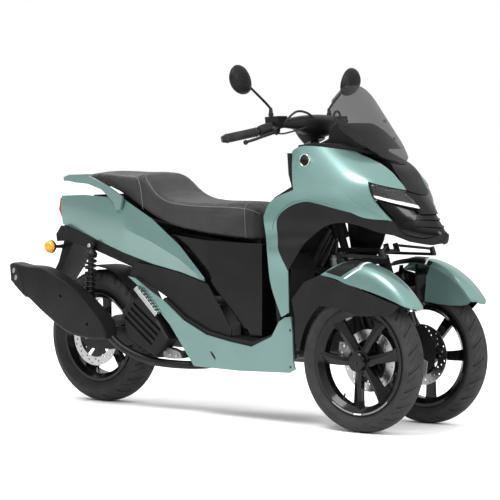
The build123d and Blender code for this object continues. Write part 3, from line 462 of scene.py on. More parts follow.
# ------------------------------------------------------------------- tyres
def tread_paint(name, centre_x, centre_z, centre_y, radius, half_width, blocks):
    """Tyre rubber with slanting curved grooves about its own axle; the grooves are also painted darker, as
    painted shade.
    """
    p = Paint(name, Roughness=0.72, Specular_IOR_Level=0.2)
    x, y, z = p.split(p.place())
    dx, dy, dz = x - centre_x * MM, y - centre_y * MM, z - centre_z * MM
    turn = p.node("ShaderNodeMath", {"operation": "ARCTAN2"}, {0: dz, 1: dx}) * (1 / (2 * math.pi))
    reach = (dx * dx + dz * dz) ** 0.5
    across = dy.size() * (1000.0 / half_width)
    slant = across ** 1.6 * (0.62 / blocks)
    side = dy.above(0.0) * (0.5 / blocks)
    long_groove = ((turn + slant + side) * float(blocks)).part()
    short_groove = ((turn + slant * 1.5 + side) * float(blocks * 2) + 0.3).part()
    crown = reach.above((radius - 27) * MM)
    long_groove = long_groove.below(0.085) * across.above(0.1)
    short_groove = short_groove.below(0.09) * across.above(0.45)
    shaded_groove = (long_groove + short_groove).least(1.0) * crown * across.below(0.9)
    scuff = p.noise(18.0, 6.0, 0.6)
    wall_ring = ((reach * 260.0).part().below(0.12)) * reach.below((radius - 30) * MM) * 0.12
    rubber = p.shades(scuff, [(0.3, 0.016), (0.75, 0.034)])
    # The grooves are painted near black as well as bumped: painted shade in the recesses of the tread.
    p.set("Base Color", p.blend(shaded_groove, rubber, (0.003, 0.003, 0.003)))
    p.set("Roughness", scuff * 0.2 + 0.58)
    return p.bump(p.noise(1500.0, 3.0) * 0.05 - shaded_groove - wall_ring, 0.0035).material


tyre_rows = [
    # node, centre x, y, z, radius, half width, blocks
    ("front_tyre_right", front_x, -wheel_y, front_z, 250, 45, 22),
    ("front_tyre_left", front_x, wheel_y, front_z, 250, 45, 22),
    ("rear_tyre", rear_x, 0, rear_z, 256, 65, 20),
]
for node, x, y, z, radius, half, blocks in tyre_rows:
    nodes[node].data.materials[0] = tread_paint(node + "_tread", x, z, y, radius, half, blocks)
    nodes[node].modifiers.clear()


# -------------------------------------------------------------------- rims
def beside(centre, angle, reach, aside):
    """Side-view point some way out from a centre, and aside from that line."""
    return (centre[0] + reach * math.cos(angle) - aside * math.sin(angle),
            centre[2] + reach * math.sin(angle) + aside * math.cos(angle))


def spoke(centre, outward, angle, inner_r, outer_r, hub_width, tip_width, y_hub, y_tip, depth, bend):
    """One spoke with a raised ridge, from the hub to the barrel."""
    rings, steps = [], 8
    for k in range(steps + 1):
        t = k / steps
        radius = inner_r + (outer_r - inner_r) * t
        a = math.radians(angle + bend * t)
        width = hub_width + (tip_width - hub_width) * t + 10 * max(0, t - 0.85) / 0.15
        out = y_hub + (y_tip - y_hub) * t
        ring = []
        turn = 1 if bend >= 0 else -1
        facets = [(-0.5, -depth), (-0.5, -4 - 11 * t), (0.32 * t - 0.05, 0), (0.5, -3 - 3 * t), (0.5, -depth)]
        for across, height in facets:
            x, z = beside(centre, a, radius, width * across * turn)
            ring.append((x, centre[1] + outward * (out + height), z))
        rings.append(ring)
    return rings_mesh(rings)


def wheel(name, body, node, centre, outward, outer_r, half, spokes, hub_r, y_hub, y_tip, cap_r, cap_y,
          hub_low):
    """Cast wheel: barrel, hub, spokes as (angle, bend), a cap over the axle and a valve."""
    bore = 9.2
    barrel = [(half, outer_r), (half - 4, outer_r + 2), (half - 6, outer_r - 2), (half - 7, outer_r - 12),
              (half - 20, outer_r - 23), (20 - half, outer_r - 23), (7 - half, outer_r - 12),
              (6 - half, outer_r - 2), (4 - half, outer_r + 2), (-half, outer_r), (-half, outer_r - 12),
              (-half + 5, outer_r - 17), (16 - half, outer_r - 30), (half - 18, outer_r - 31),
              (half - 7, outer_r - 20), (half - 1, outer_r - 12)]
    shape = turned([(y, min(r, outer_r)) for y, r in barrel], centre, 128)
    hub = [(hub_low, bore), (hub_low, hub_r - 2), (y_hub - 22, hub_r), (y_hub - 2, hub_r), (y_hub, hub_r - 4),
           (y_hub + 1, cap_r + 3), (y_hub + 1, cap_r), (cap_y - 3, cap_r), (cap_y, cap_r - 4), (cap_y, bore)]
    shape = both(shape, turned([(outward * y, r) for y, r in hub], centre, 48))
    for angle, bend in spokes:
        shape = both(shape, spoke(centre, outward, angle, hub_r - 6, outer_r - 22, 27, 42, y_hub, y_tip, 24,
                                  bend))
    add_piece(name, shape, body, "gloss_black", bevel=0.0015, node=node)
    lid_r = cap_r - 5
    lid = [(cap_y - 1, 0.2), (cap_y - 1, lid_r), (cap_y + 0.6, lid_r - 1), (cap_y - 0.4, lid_r - 3),
           (cap_y - 0.2, 0.2)]
    add_piece(name + "_cap", turned([(outward * y, r) for y, r in lid], centre, 24), body, "gloss_black")
    valve_angle, valve_r = math.radians(-118), outer_r - 37
    valve = [about(centre, valve_angle, valve_r + up, outward * (half - 18 + out))
             for up, out in ((8, -6), (0, 6), (-22, 9))]
    tube(name + "_valve_0", valve, 3.2, body, "rubber")


def rim_tape(name, body, centre, outward, radius, half, low, high, gap):
    """Thin reflective arc along the rim's lower lip, with a plain white bar in its gap."""
    for k, (start, end, slot) in enumerate(((low, gap[0], "alloy"), (gap[0] + 1, gap[1] - 1, "white_light"),
                                            (gap[1], high, "alloy"))):
        rings = []
        for step in range(17):
            a = math.radians(start + (end - start) * step / 16)
            rings.append([about(centre, a, r, outward * y)
                          for y, r in washer(half + 0.4, half - 0.6, radius, radius + 5.5)])
        add_piece(f"{name}_{k}", rings_mesh(rings), body, "alloy", material=paints[slot])


front_spokes = [(122, 5), (62, -5), (8, 4), (-46, -6), (-98, 4), (183, -5)]
for side, outward in sides:
    centre = (front_x, outward * wheel_y, front_z)
    wheel(f"wheel_front_{side}", f"wheel_{side}", f"front_rim_{side}", centre, outward, 190, 31,
          [(a, b) if outward < 0 else (180 - a, -b) for a, b in front_spokes], 40, 22, 24, 34, 44, -34)
    rim_tape(f"rim_tape_{side}", f"wheel_{side}", centre, outward, 181.5, 31, -128, -46, (-97, -84))
wheel("wheel_rear_rim", "wheel_rear", "rear_rim", (rear_x, 0, rear_z), 1, 178, 48,
      [(a, 0) for a in (18, 90, 162, 234, 306)], 40, 24, 26, 22, 70, -56)


def brake_disc(name, body, node, centre, outward, offset, outer_r, inner_r, bore, arms):
    """Drilled ring on a black carrier; the offset is where its inner face stands."""
    low, high = outward * offset, outward * (offset + 4)
    piece = mesh_object(name, *turned(washer(low, high, inner_r, outer_r), centre, 120))
    drill = sorted((centre[1] + low - 3 * outward, centre[1] + high + 3 * outward))
    holes = ([], [])
    for k, a in enumerate(turn_angles(36)):
        reach = inner_r + (outer_r - inner_r) * (0.24, 0.5, 0.76)[k % 3]
        hole = circle(centre[0] + reach * math.cos(a), centre[2] + reach * math.sin(a), 3.4, 12)
        holes = both(holes, prism(hole, *drill))
    combine(piece, "DIFFERENCE", "holes", holes)
    finish_piece(piece, body, "steel", bevel=0.0004, node=node)
    low, high = outward * (offset + 0.6), outward * (offset + 4.6)
    carrier = turned(washer(low, high, bore, inner_r * 0.62), centre, 48)
    root, tip = inner_r * 0.55, inner_r + 5
    for k in range(arms):
        a = 2 * math.pi * k / arms + 0.3
        line = [beside(centre, a, r, w) for r, w in ((root, -14), (tip, -8), (tip, 8), (root, 14))]
        carrier = both(carrier, prism(line, *sorted((centre[1] + low, centre[1] + high))))
    add_piece(name + "_carrier", carrier, body, "black_metal", bevel=0.0008)


for side, outward in sides:
    brake_disc(f"brake_disc_{side}", f"wheel_{side}", f"front_disc_{side}",
               (front_x, outward * wheel_y, front_z), outward, -38, 110, 74, 22, 6)
brake_disc("brake_disc_rear", "wheel_rear", "rear_disc", (rear_x, 0, rear_z), 1, -60, 115, 82, 24, 5)


# ---------------------------------------------------------------- the seat
seat_rows = [
    # x, half_width, z_top, z_shoulder, z_edge
    (-715, 62, 884, 876, 862), (-660, 84, 893, 880, 858), (-600, 100, 896, 878, 850),
    (-540, 112, 895, 872, 832), (-480, 122, 893, 866, 808), (-440, 129, 893, 862, 790),
    (-400, 136, 893, 856, 772), (-372, 140, 888, 846, 759), (-345, 143, 870, 832, 746),
    (-318, 147, 844, 816, 734), (-290, 150, 822, 800, 723), (-255, 153, 806, 786, 712),
    (-220, 156, 798, 776, 702), (-165, 157, 793, 770, 691), (-110, 156, 791, 765, 682),
    (-40, 147, 791, 762, 672),
    (40, 134, 792, 760, 664), (80, 119, 791, 758, 660), (110, 104, 788, 754, 658), (134, 86, 779, 744, 656.5),
    (150, 68, 762, 726, 655.5), (157, 58, 744, 706, 655),
]


def seat_ring(row, grow=0.0):
    """Cross-section of the seat with a crowned top and rounded shoulders."""
    x, half, top, shoulder, edge = row
    half += grow
    crown = top - shoulder
    side_points = [(half * 0.93, edge), (half, edge + 6), (half + 1.0, (edge + shoulder) / 2),
                   (half, shoulder - 6), (half * 0.965, shoulder + crown * 0.35),
                   (half * 0.86, shoulder + crown * 0.72),
                   (half * 0.66, top - 2 + grow), (half * 0.4, top + grow), (half * 0.15, top + 1.5 + grow)]
    ring = [(x, -y, z) for y, z in side_points]
    return ring + [(x, y, z) for y, z in reversed(side_points)]


def build_seat():
    """The cushion starts a little small, and swells under pressure to its full shape."""
    rings = [seat_ring(row, -3.0) for row in seat_rows]
    seat = mesh_object("seat_cushion", *rings_mesh(rings))
    remesh = seat.modifiers.new("voxels", "REMESH")
    remesh.mode, remesh.voxel_size = "VOXEL", 0.006
    settle(seat)
    rest = [v.co.copy() for v in seat.data.vertices]
    cloth = seat.modifiers.new("cloth", "CLOTH")
    cloth.settings.uniform_pressure_force = 4.0
    cloth.settings.use_pressure = True
    cloth.settings.tension_stiffness = cloth.settings.compression_stiffness = 40
    cloth.settings.effector_weights.gravity = 0
    for step in range(1, 21):
        scene.frame_set(step)
    settle(seat)
    scene.frame_set(1)
    most = 0.004  # no point moves farther than this
    for vertex, start in zip(seat.data.vertices, rest):
        move = vertex.co - start
        if move.length > most:
            vertex.co = start + move * (most / move.length)
    finish_piece(seat, "seat", "seat_cover", subdiv=1, node="seat")


build_seat()
thread = Paint("seat_thread", Roughness=0.7)
thread.set("Base Color", thread.shades(thread.noise(900.0), [(0.3, 0.12), (0.7, 0.2)]))


thread_lift, thread_r = 0.9, 0.75


def seat_point(x, place, lift):
    """Point on the seat's skin at a length and a point of the cross-section."""
    for first, second in zip(seat_rows, seat_rows[1:]):
        if first[0] <= x <= second[0]:
            t = (x - first[0]) / (second[0] - first[0])
            ring = seat_ring([a + (b - a) * t for a, b in zip(first, second)], lift)
            low = int(place)
            a, b = ring[low], ring[min(low + 1, len(ring) - 1)]
            return tuple(p + (q - p) * (place - low) for p, q in zip(a, b))


def stitch(name, stops):
    """Sewn line over the seat through (x, place round the cross-section)."""
    line = smooth_line([(x, place, 0) for x, place in stops], 8)
    tube(name, [seat_point(x, place, thread_lift) for x, place, _ in line], thread_r, "seat", "seat_cover",
         material=thread.material)


side_seams = [
    # name, (x, place round the cross-section)
    ("rider_seam", ((-400, 7.6), (-392, 6.2), (-360, 5.0), (-300, 4.5), (-200, 4.2), (-60, 4.2), (60, 4.2),
                    (120, 4.2), (148, 4.6))),
    ("pillion_seam", ((-700, 5.2), (-600, 4.8), (-500, 4.6), (-420, 4.6), (-385, 3.6), (-368, 2.0),
                      (-362, 0.6))),
    ("front_seam", ((96, 7.6), (100, 5.6), (106, 4.0), (110, 2.4), (113, 0.8))),
]
last_place = len(seat_ring(seat_rows[0])) - 1
for name, stops in side_seams:
    stitch(name + "_0", stops)
for name, stops in side_seams:
    stitch(name + "_1", [(x, last_place - place) for x, place in stops])
stitch("pillion_cross_seam", [(-404, 4.8), (-408, 6.6), (-409, 8.5), (-408, 10.4), (-404, 12.2)])
stitch("front_cross_seam", [(96, 7.4), (95, 8.5), (96, 9.6)])


# ------------------------------------------------------- the front cowling
# Level sections of the cowling, one row each from the top down.
nose_rows = [
    # z, nose_x, cheek_x, cheek_y, lamp_x, lamp_y, flank_x, flank_y, back_y
    (1010, 560, 545, 85, 520, 135, 450, 158, 165),
    (940, 745, 725, 78, 620, 158, 500, 185, 192),
    (878, 808, 790, 68, 720, 163, 560, 205, 208),
    (810, 862, 845, 52, 768, 152, 600, 222, 232),
    (741, 912, 893, 42, 802, 130, 640, 214, 245),
    (690, 943, 925, 35, 835, 104, 680, 192, 245),
    (640, 925, 905, 30, 825, 90, 500, 238, 243),
    (560, 840, 822, 38, 768, 98, 490, 236, 241),
    (470, 760, 745, 50, 712, 108, 484, 236, 239),
    (380, 700, 690, 60, 670, 120, 480, 236, 238),
]


def nose_skin(inset):
    """Closed smooth form of the cowling, drawn in by an inset."""
    rings = []
    for z, nx, cx, cy, lx, ly, fx, fy, by in smooth_line(nose_rows, 4):
        half = smooth_line([(cx, -cy), (nx, 0), (cx, cy), (lx, ly), (fx, fy), (300, by)], 5)[5:]
        # The inset fades out towards the nose's ridge, so that the skin never folds there.
        half = [(x - inset, y - inset * min(1.0, y / 45)) for x, y in half[:-1]] + [(300, by - inset)]
        rings.append([(x, y, z) for x, y in half] + [(x, -y, z) for x, y in reversed(half[1:])])
    return rings_mesh(rings)


def runs(*parts, steps=6):
    """Closed outline: a point is a sharp corner, a list runs smoothly on from the point before it."""
    out = []
    for part in parts:
        if isinstance(part, tuple):
            out.append(part)
        else:
            line = smooth_line([(*p, 0) for p in out[-1:] + part], steps)
            out = out[:-1] + [p[:2] for p in line]
    return out[:-1] if out[-1] == out[0] else out


def plan_shape(outline, z_low, z_high):
    """Plan outline (x, y) between two heights."""
    return rings_mesh([[(x, y, z_low) for x, y in outline], [(x, y, z_high) for x, y in outline]])


lamp_top, lamp_inner, cowl_tip = (719, 878), (813, 848), (800, 741)
arch_top, arch_left, arch_foot = (484, 804), (372, 738), (427, 558)
strip_half = [(500, 98), (640, 96), (745, 82), (813, 62), (890, 42), (990, 42)]
strip = strip_half + [(x, -y) for x, y in reversed(strip_half)]
teal_edge = runs([(388, 983), (430, 1001), (541, 994), (659, 970), (745, 935), lamp_inner],
                 lamp_top, [(742, 820), cowl_tip], [(640, 778), (540, 800), arch_top, (420, 784),
                  arch_left, (380, 650), arch_foot], (430, 410), (396, 392), [(345, 511), (330, 629),
                  (312, 750)], [(342, 808), (431, 845)], [(420, 870), (411, 898), (388, 983)])
arch_edge = runs([arch_top, (540, 800), (640, 778), cowl_tip], [(815, 720), (805, 690)], [(760, 702),
                  (715, 720), (656, 733), (600, 728), (550, 708), (505, 672), (462, 610), arch_foot],
                 [(380, 650), arch_left, (420, 784), arch_top])
beak_edge = runs([(815, 720), (832, 697), (864, 682), (902, 680), (936, 696)], (960, 704), (960, 668),
                 (905, 656), (847, 668), (805, 690))
nose_edge = runs((700, 1040), (668, 967), [(745, 935), lamp_inner], [(900, 800), (905, 775)], (940, 800),
                 (800, 1040))


def cowl_panel(name, edge, slot, strip_mode=None, inset=0.0, thickness=4.0, node=None, bevel=0.002):
    """Shell of the cowling inside a side outline, kept to the middle strip or cleared of it."""
    piece = mesh_object(name, *nose_skin(inset))
    combine(piece, "DIFFERENCE", "hollow", nose_skin(inset + thickness))
    combine(piece, "INTERSECT", "edge", prism(edge, -400, 400))
    if strip_mode:
        combine(piece, strip_mode, "strip", plan_shape(strip, 600, 1200))
    return finish_piece(piece, "chassis", slot, bevel=bevel, node=node)


cowl_panel("cowl_skin", teal_edge, "teal_paint", "DIFFERENCE", node="front_cowl")
cowl_panel("arch_skin", arch_edge, "dark_plastic", node="arch_panels")
cowl_panel("beak_skin", beak_edge, "dark_plastic", thickness=6.0, node="nose_lower")
cowl_panel("nose_strip", nose_edge, "dark_plastic", "INTERSECT", node="nose_panel")

# Headlamps: a dark recess, a clear cover, and the white running-light blade.
lamp_edge = runs(lamp_top, lamp_inner, [(880, 800), (905, 775)], cowl_tip, [(742, 820), lamp_top])
cover_edge = runs((724, 874), (809, 845), (868, 800), (850, 784), (752, 818), [(736, 840), (724, 874)])
cowl_panel("lamp_recess", lamp_edge, "gloss_black", "DIFFERENCE", inset=14.0, thickness=6.0)
cowl_panel("lamp_cover", cover_edge, "lamp_lens", "DIFFERENCE", inset=2.0, thickness=2.0, bevel=0.0)
blade_edge = [(744, 829), (750, 821), (861, 784), (876, 804), (863, 805), (855, 794), (755, 827)]
cowl_panel("running_lights", blade_edge, "lamp_lens", "DIFFERENCE", inset=0.6, thickness=10.0, bevel=0.0008,
           node="headlamps").data.materials[0] = paints["white_light"]
mouth_edge = runs((796, 744), (905, 778), (960, 770), (960, 690), [(900, 670), (856, 670), (818, 690),
                   (796, 744)])
badge_edge = [(760, 856), (760, 764), (960, 764), (960, 856)]
cowl_panel("badge_plate", badge_edge, "gloss_black", "INTERSECT", inset=3.0, thickness=4.0, bevel=0.001)
cowl_panel("mouth_panel", mouth_edge, "gloss_black", inset=9.0, thickness=4.0, bevel=0.001)
for k, drop in enumerate((0, 24, 44)):
    rib_edge = runs([(812 + drop * 0.3, 742 - drop), (870, 750 - drop), (940, 744 - drop)],
                    (940, 740 - drop), [(870, 746 - drop), (812 + drop * 0.3, 738 - drop)])
    cowl_panel(f"mouth_rib_{k}", rib_edge, "gloss_black", inset=4.5, thickness=6.0, bevel=0.0006)
# Raised band over the arch: it makes the long crease from the notch to the lamp.
band_edge = runs([(431, 845), (501, 868), (602, 857), (704, 797), (792, 744)], [(720, 752), (640, 786),
                  (540, 808), (484, 812), (415, 792), (364, 742), (352, 700)], (330, 700), [(318, 752),
                  (344, 806), (431, 845)])
cowl_panel("arch_band", band_edge, "teal_paint", inset=-2.2, thickness=4.0, bevel=0.0022)


# ------------------------------------------------------- front fenders
ring_x, ring_z = 684, 261
fender_plan = [(540, 262), (890, 258), (930, 246), (956, 224), (969, 198), (966, 172), (930, 143), (540, 138)]


def fender_section(lift, thickness):
    """Closed (y, radius) section of the fender, for the right-hand wheel."""
    outer = smooth_line([(-250, 230, 0), (-247, 280, 0), (-241, 312, 0), (-222, 333, 0), (-190, 340, 0),
                         (-166, 336, 0), (-150, 320, 0)], 5)
    outer = [(y, r + lift) for y, r, _ in outer]
    return outer + [(y * 0.985 - 2.6, r - thickness) for y, r in reversed(outer)]


def fender_piece(name, side, outward, edge, slot, lift=0.0, thickness=4.0, node=None, plan=True, bevel=0.0015,
                 span=(140, 262)):
    """Shell over a front wheel inside a side outline; plan says whether the plan outline cuts it too."""
    section = fender_section(lift, thickness)
    shape = turned(section, (ring_x, 0, ring_z), 160)
    if outward > 0:
        shape = flipped(shape)
    piece = mesh_object(name, *shape)
    combine(piece, "INTERSECT", "edge", prism(edge, *sorted((outward * span[0], outward * span[1]))))
    if plan:
        combine(piece, "INTERSECT", "plan", plan_shape([(x, outward * y) for x, y in fender_plan], 380, 660))
    return finish_piece(piece, f"fork_{side}", slot, bevel=bevel, node=node)


whole_edge = runs([(571, 549), (640, 538), (691, 522), (790, 500), (880, 474), (972, 438)], (985, 470),
                  (900, 660), (700, 690), (673, 601), [(640, 590), (571, 549)])
patch_edge = [(592, 560), (664, 546), (727, 584), (727, 640), (674, 640), (674, 600)]
inside_edge = [(560, 556), (640, 534), (700, 520), (750, 520), (768, 592), (760, 640), (660, 640)]
flank_arc = [(ring_x + 321 * math.cos(math.radians(a)), ring_z + 321 * math.sin(math.radians(a)))
             for a in range(36, 78, 3)]
flank_edge = [(745, 444), (800, 437), (855, 434), (905, 435), (930, 440)] + flank_arc + [(752, 532)]
flank_dark = [(702, 456), (744, 444), (751, 532), (749, 572), (702, 576)]
fender_teal = paint_teal("fender_teal", False).material
stripe_edge = [(677, 541), (686, 539.5), (745, 575), (745, 640), (737, 640), (737, 578)]
for side, outward in sides:
    fender_piece(f"fender_shell_{side}", side, outward, whole_edge, "teal_paint",
                 node=f"fender_{side}").data.materials[0] = fender_teal
    fender_piece(f"fender_inside_{side}", side, outward, inside_edge, "dark_plastic", 0.5, 3.0, plan=False,
                 bevel=0, span=(140, 163))
    flank_y = on_side(outward, 140.4, 143.4)
    add_piece(f"fender_flank_{side}", prism(flank_edge, *flank_y), f"fork_{side}", "teal_paint",
              bevel=0.001, material=fender_teal)
    add_piece(f"fender_flank_dark_{side}", prism(flank_dark, *flank_y), f"fork_{side}", "gloss_black",
              bevel=0.001)
    fender_piece(f"fender_patch_{side}", side, outward, patch_edge, "dark_plastic", 0.5, 2.0, plan=False,
                 bevel=0)
    fender_piece(f"fender_stripe_{side}", side, outward, stripe_edge, "white_light", 0.7, 2.0, plan=False,
                 bevel=0)


# --------------------------------------------------- handlebar furniture
def lathe_along(name, start, end, rows, body, slot, node=None, steps=28):
    """Round piece along a line; rows give (share of the length, radius)."""
    a, b = Vector(start), Vector(end)
    axis = b - a
    u = axis.orthogonal().normalized()
    w = axis.normalized().cross(u)
    rings = []
    for share, radius in rows:
        c = a + axis * share
        rings.append([tuple(c + (u * math.cos(t) + w * math.sin(t)) * radius) for t in turn_angles(steps)])
    return add_piece(name, rings_mesh(rings), body, slot, bevel=0.0006, node=node)


def mirror_piece(side, outward):
    """Tilted oval shell with its glass, stem and boot."""
    cy, cz = outward * 318, 1234
    lean = math.radians(40)
    rings = []
    for x, share in ((262, 0.90), (262, 0.985), (264.5, 1.0), (270, 0.99), (277, 0.93), (284, 0.8),
                     (290, 0.58), (293, 0.32), (293.8, 0.08)):
        ring = []
        for a in turn_angles(40):
            u, w = 61 * share * math.cos(a), 46 * share * math.sin(a) * (1 + 0.16 * math.cos(a))
            ring.append((x, cy + outward * (u * math.cos(lean) - w * math.sin(lean)),
                         cz + u * math.sin(lean) + w * math.cos(lean)))
        rings.append(ring)
    add_piece(f"mirror_shell_{side}", rings_mesh(rings), "handlebar", "dark_plastic", bevel=0.001,
              node="mirrors" if side == "right" else None)
    glass = [[(x, cy + (y - cy) * 0.93, cz + (z - cz) * 0.93) for _, y, z in rings[1]]
             for x in (261.6, 262.2)]
    add_piece(f"mirror_glass_{side}", rings_mesh(glass), "handlebar", "chrome")
    stem = [(286, 169, 1105), (286, 169, 1128), (284, 176, 1142), (276, 268, 1206), (274, 282, 1216)]
    tube(f"mirror_stem_{side}", mirrored(outward, stem), 4.6, "handlebar", "black_metal")
    lathe_along(f"mirror_boot_{side}", (286, outward * 169, 1106), (285, outward * 170, 1138),
                [(0, 9), (0.3, 9.5), (0.42, 7.5), (0.8, 6.6), (1, 5)], "handlebar", "rubber")


bar_lines = [
    # name, radius, slot, points for the left
    ("brake_hose", 4.2, "rubber",
     [(345, 160, 1086), (362, 140, 1120), (372, 100, 1128), (392, 58, 1108), (402, 46, 1080)]),
    ("throttle_cable", 3.2, "rubber",
     [(318, 214, 1058), (340, 196, 1040), (372, 150, 1052), (392, 96, 1068)]),
    ("lever_blade", 5.2, "black_metal",
     [(352, 216, 1051), (346, 246, 1046), (334, 276, 1034), (318, 306, 1022), (304, 330, 1015)]),
]
grip_rows = [(0.0, 17)]
for k in range(15):
    grip_rows += [(share + k * 0.058, radius) for share, radius in
                  ((0.06, 17.0), (0.075, 16.0), (0.095, 16.0), (0.11, 17.0))]
grip_rows += [(0.97, 17), (1.0, 15)]
for side, outward in sides:
    mirror_piece(side, outward)
    inner, outer = (298, outward * 262, 1051), (233, outward * 361, 1026.6)
    lathe_along(f"grip_{side}", inner, outer, grip_rows, "handlebar", "rubber",
                "grips" if side == "right" else None)
    lathe_along(f"bar_end_{side}", (234, outward * 360, 1027), (227, outward * 370.5, 1024.4),
                [(0, 12), (0.1, 13.5), (0.6, 14), (0.9, 12), (1, 8)], "handlebar", "black_metal")
    lathe_along(f"switch_box_{side}", (322, outward * 206, 1067), (301, outward * 256, 1052),
                [(0, 15), (0.06, 20), (0.5, 21.5), (0.9, 20), (1, 17)], "handlebar", "dark_plastic")
    for name, radius, slot, line in bar_lines:
        tube(f"{name}_{side}", mirrored(outward, line), radius, "handlebar", slot)


cover_rows = [
    # y, x, z, half depth, half height
    (172, 334, 1079, 13, 13), (150, 339, 1081, 16, 17), (118, 347, 1084, 24, 24), (84, 356, 1082, 36, 33),
    (48, 362, 1078, 47, 42), (0, 364, 1076, 52, 47),
]


def bar_shell():
    """Smooth cover over the middle of the handlebar."""
    rows = cover_rows + [(-y, x, z, d, h) for y, x, z, d, h in reversed(cover_rows[:-1])]
    rings = []
    for y, x, z, d, h in smooth_line(rows, 4):
        ring = []
        for a in turn_angles(36):
            out, up = [math.copysign(abs(t) ** 0.75, t) for t in (math.cos(a), math.sin(a))]
            ring.append((x + d * out, y, z + h * up * (0.8 if math.sin(a) > 0 else 1)))
        rings.append(ring)
    add_piece("bar_shell", rings_mesh(rings), "handlebar", "dark_plastic", node="bar_cover")


bar_shell()
lathe_along("stem_boot", (352.8, 0, 1015), (332.8, 0, 1070), [(0, 38), (0.15, 43), (0.6, 54), (1, 60)],
            "handlebar", "dark_plastic", steps=40)
visor = runs([(478, 1008), (490, 1056), (516, 1080), (560, 1078), (622, 1044), (684, 990)], [(600, 1000),
              (478, 1008)])
add_piece("meter_visor", prism(visor, -86, 86), "chassis", "dark_plastic", bevel=0.012)


# ------------------------------------------------------------ rear dampers
def damper(side, outward):
    """Coil, body, and an eye with its bolt at each end."""
    y = outward * 130
    top, low = Vector((-640, y, 612)), Vector((-655, y, 372))
    axis = low - top
    u = axis.normalized()
    v = Vector((0, 1, 0))
    w = u.cross(v)
    turns, points = 8.5, []
    for k in range(int(turns * 10) + 1):
        a = 2 * math.pi * k / 10
        share = 0.16 + 0.66 * k / (turns * 10)
        points.append(tuple(top + axis * share + (v * math.cos(a) + w * math.sin(a)) * 20))
    tube(f"damper_spring_{side}", points, 4.2, "chassis", "black_metal")
    rows = [(0.02, 8), (0.06, 12), (0.12, 23.5), (0.15, 24), (0.16, 12), (0.5, 11), (0.52, 15), (0.82, 16),
            (0.83, 24), (0.86, 24), (0.88, 12), (0.97, 10)]
    lathe_along(f"damper_body_{side}", top, low, rows, "chassis", "black_metal",
                "rear_shocks" if outward < 0 else None)
    for k, (eye, inner) in enumerate(((top, 118.4), (low, 114))):
        low_y, high_y = on_side(outward, inner, 141)
        ring = [(low_y, 7.1), (low_y, 15), (low_y + 1, 16), (high_y - 1, 16), (high_y, 15), (high_y, 7.1)]
        centre = (eye[0], 0, eye[2])
        add_piece(f"damper_eye_{side}_{k}", turned(ring, centre, 32), "chassis", "black_metal")
        head = washer(*on_side(outward, 142, 147), 0.2, 9)
        add_piece(f"damper_bolt_{side}_{k}", turned(head, centre, 6), "chassis", "steel")


for side, outward in sides:
    damper(side, outward)


# ---------------------------------------------------------------- exhaust
muffler_line = runs([(-972, 531), (-962, 540), (-900, 531), (-790, 522), (-640, 452), (-520, 362),
                     (-472, 302), (-468, 268)], [(-500, 262), (-560, 262), (-667, 281), (-790, 348),
                     (-872, 404), (-893, 408)], [(-966, 470), (-972, 531)], steps=5)
centre_line = (-690, 410)
layers = [  # y, share of the outline
    (-167, 0.86), (-169, 0.93), (-176, 0.985), (-186, 1.0),
    (-226, 1.0), (-236, 0.985), (-241, 0.94), (-242, 0.88),
]
rings = []
for y, share in layers:
    rings.append([(centre_line[0] + (x - centre_line[0]) * (1 - (1 - share) * 0.35),
                   y, centre_line[1] + (z - centre_line[1]) * share) for x, z in muffler_line])
add_piece("muffler_shell", rings_mesh(rings), "chassis", "dark_plastic", bevel=0.003, node="exhaust")
header_line = [(-500, -196, 290), (-455, -188, 246), (-400, -174, 215), (-320, -150, 187), (-240, -146, 181),
               (-150, -132, 180), (-100, -86, 180), (-84, -50, 184), (-84, -40, 205), (-84, -40, 236)]
tube("header_pipe", header_line, 16, "chassis", "black_metal")
shield = runs([(-900, 500), (-790, 482), (-650, 420), (-540, 340), (-500, 300)], [(-520, 290), (-560, 292),
               (-680, 322), (-800, 396), (-880, 452)])
add_piece("heat_shield", prism(shield, -241.4, -236), "chassis", "dark_plastic", bevel=0.002)
for k, (x, z) in enumerate(((-700, 420), (-560, 318))):
    head = turned([(-242.0, 0.2), (-242.0, 5.5), (-238, 6), (-238, 0.2)], (x, 0, z), 12)
    add_piece(f"shield_bolt_{k}", head, "chassis", "steel", bevel=0.0006)


# ------------------------------------------------------ small body details
def block(name, outline, y_low, y_high, body, slot, bevel=0.0012):
    """Flat piece with a side outline."""
    add_piece(name, prism(outline, y_low, y_high), body, slot, bevel=bevel)


def disc_piece(name, x, z, y_low, y_high, radius, body, slot, steps=24):
    """Flat round piece on a cross axis."""
    form = turned(washer(y_low, y_high, 0.2, radius), (x, 0, z), steps)
    add_piece(name, form, body, slot, bevel=0.0007)


for side, outward in sides:
    strip_line = [(-346, 470), (-240, 372), (-252, 360), (-360, 458)]
    lows = on_side(outward, 182, 199)
    block(f"footrest_{side}", strip_line, *lows, "chassis", "steel")
    for k in range(9):
        x, z = -340 + k * 12, 469 - k * 11
        block(f"footrest_tooth_{side}_{k}", [(x, z), (x + 5, z - 4.6), (x + 7, z - 2.4), (x + 2, z + 2.2)],
              lows[0] + 1, lows[1] - 1, "chassis", "steel", 0.0005)
    for k, (x, z, y) in enumerate(((408.5, 406.6, 238), (422, 345, 226), (424, 214, 226))):
        disc_piece(f"panel_screw_{side}_{k}", x, z, *on_side(outward, y - 6, y + 1.5), 4.5, "chassis",
                   "black_metal", 12)
    slot_line = runs([(20, 246), (34, 240), (60, 214), (76, 200)], [(50, 212), (20, 246)])
    block(f"panel_slot_{side}", slot_line, *on_side(outward, 195.6, 200.4), "chassis", "dark_plastic", 0.0)


def dome(name, centre, outward, radius, rows, body, slot, node=None, steps=40, squeeze=1.0):
    """Round boss facing sideways; rows give (share of the radius, distance out)."""
    rings = [[(centre[0] + radius * share * squeeze * math.cos(a), centre[1] + outward * out,
               centre[2] + radius * share * math.sin(a)) for a in turn_angles(steps)] for share, out in rows]
    add_piece(name, rings_mesh(rings), body, slot, node=node)


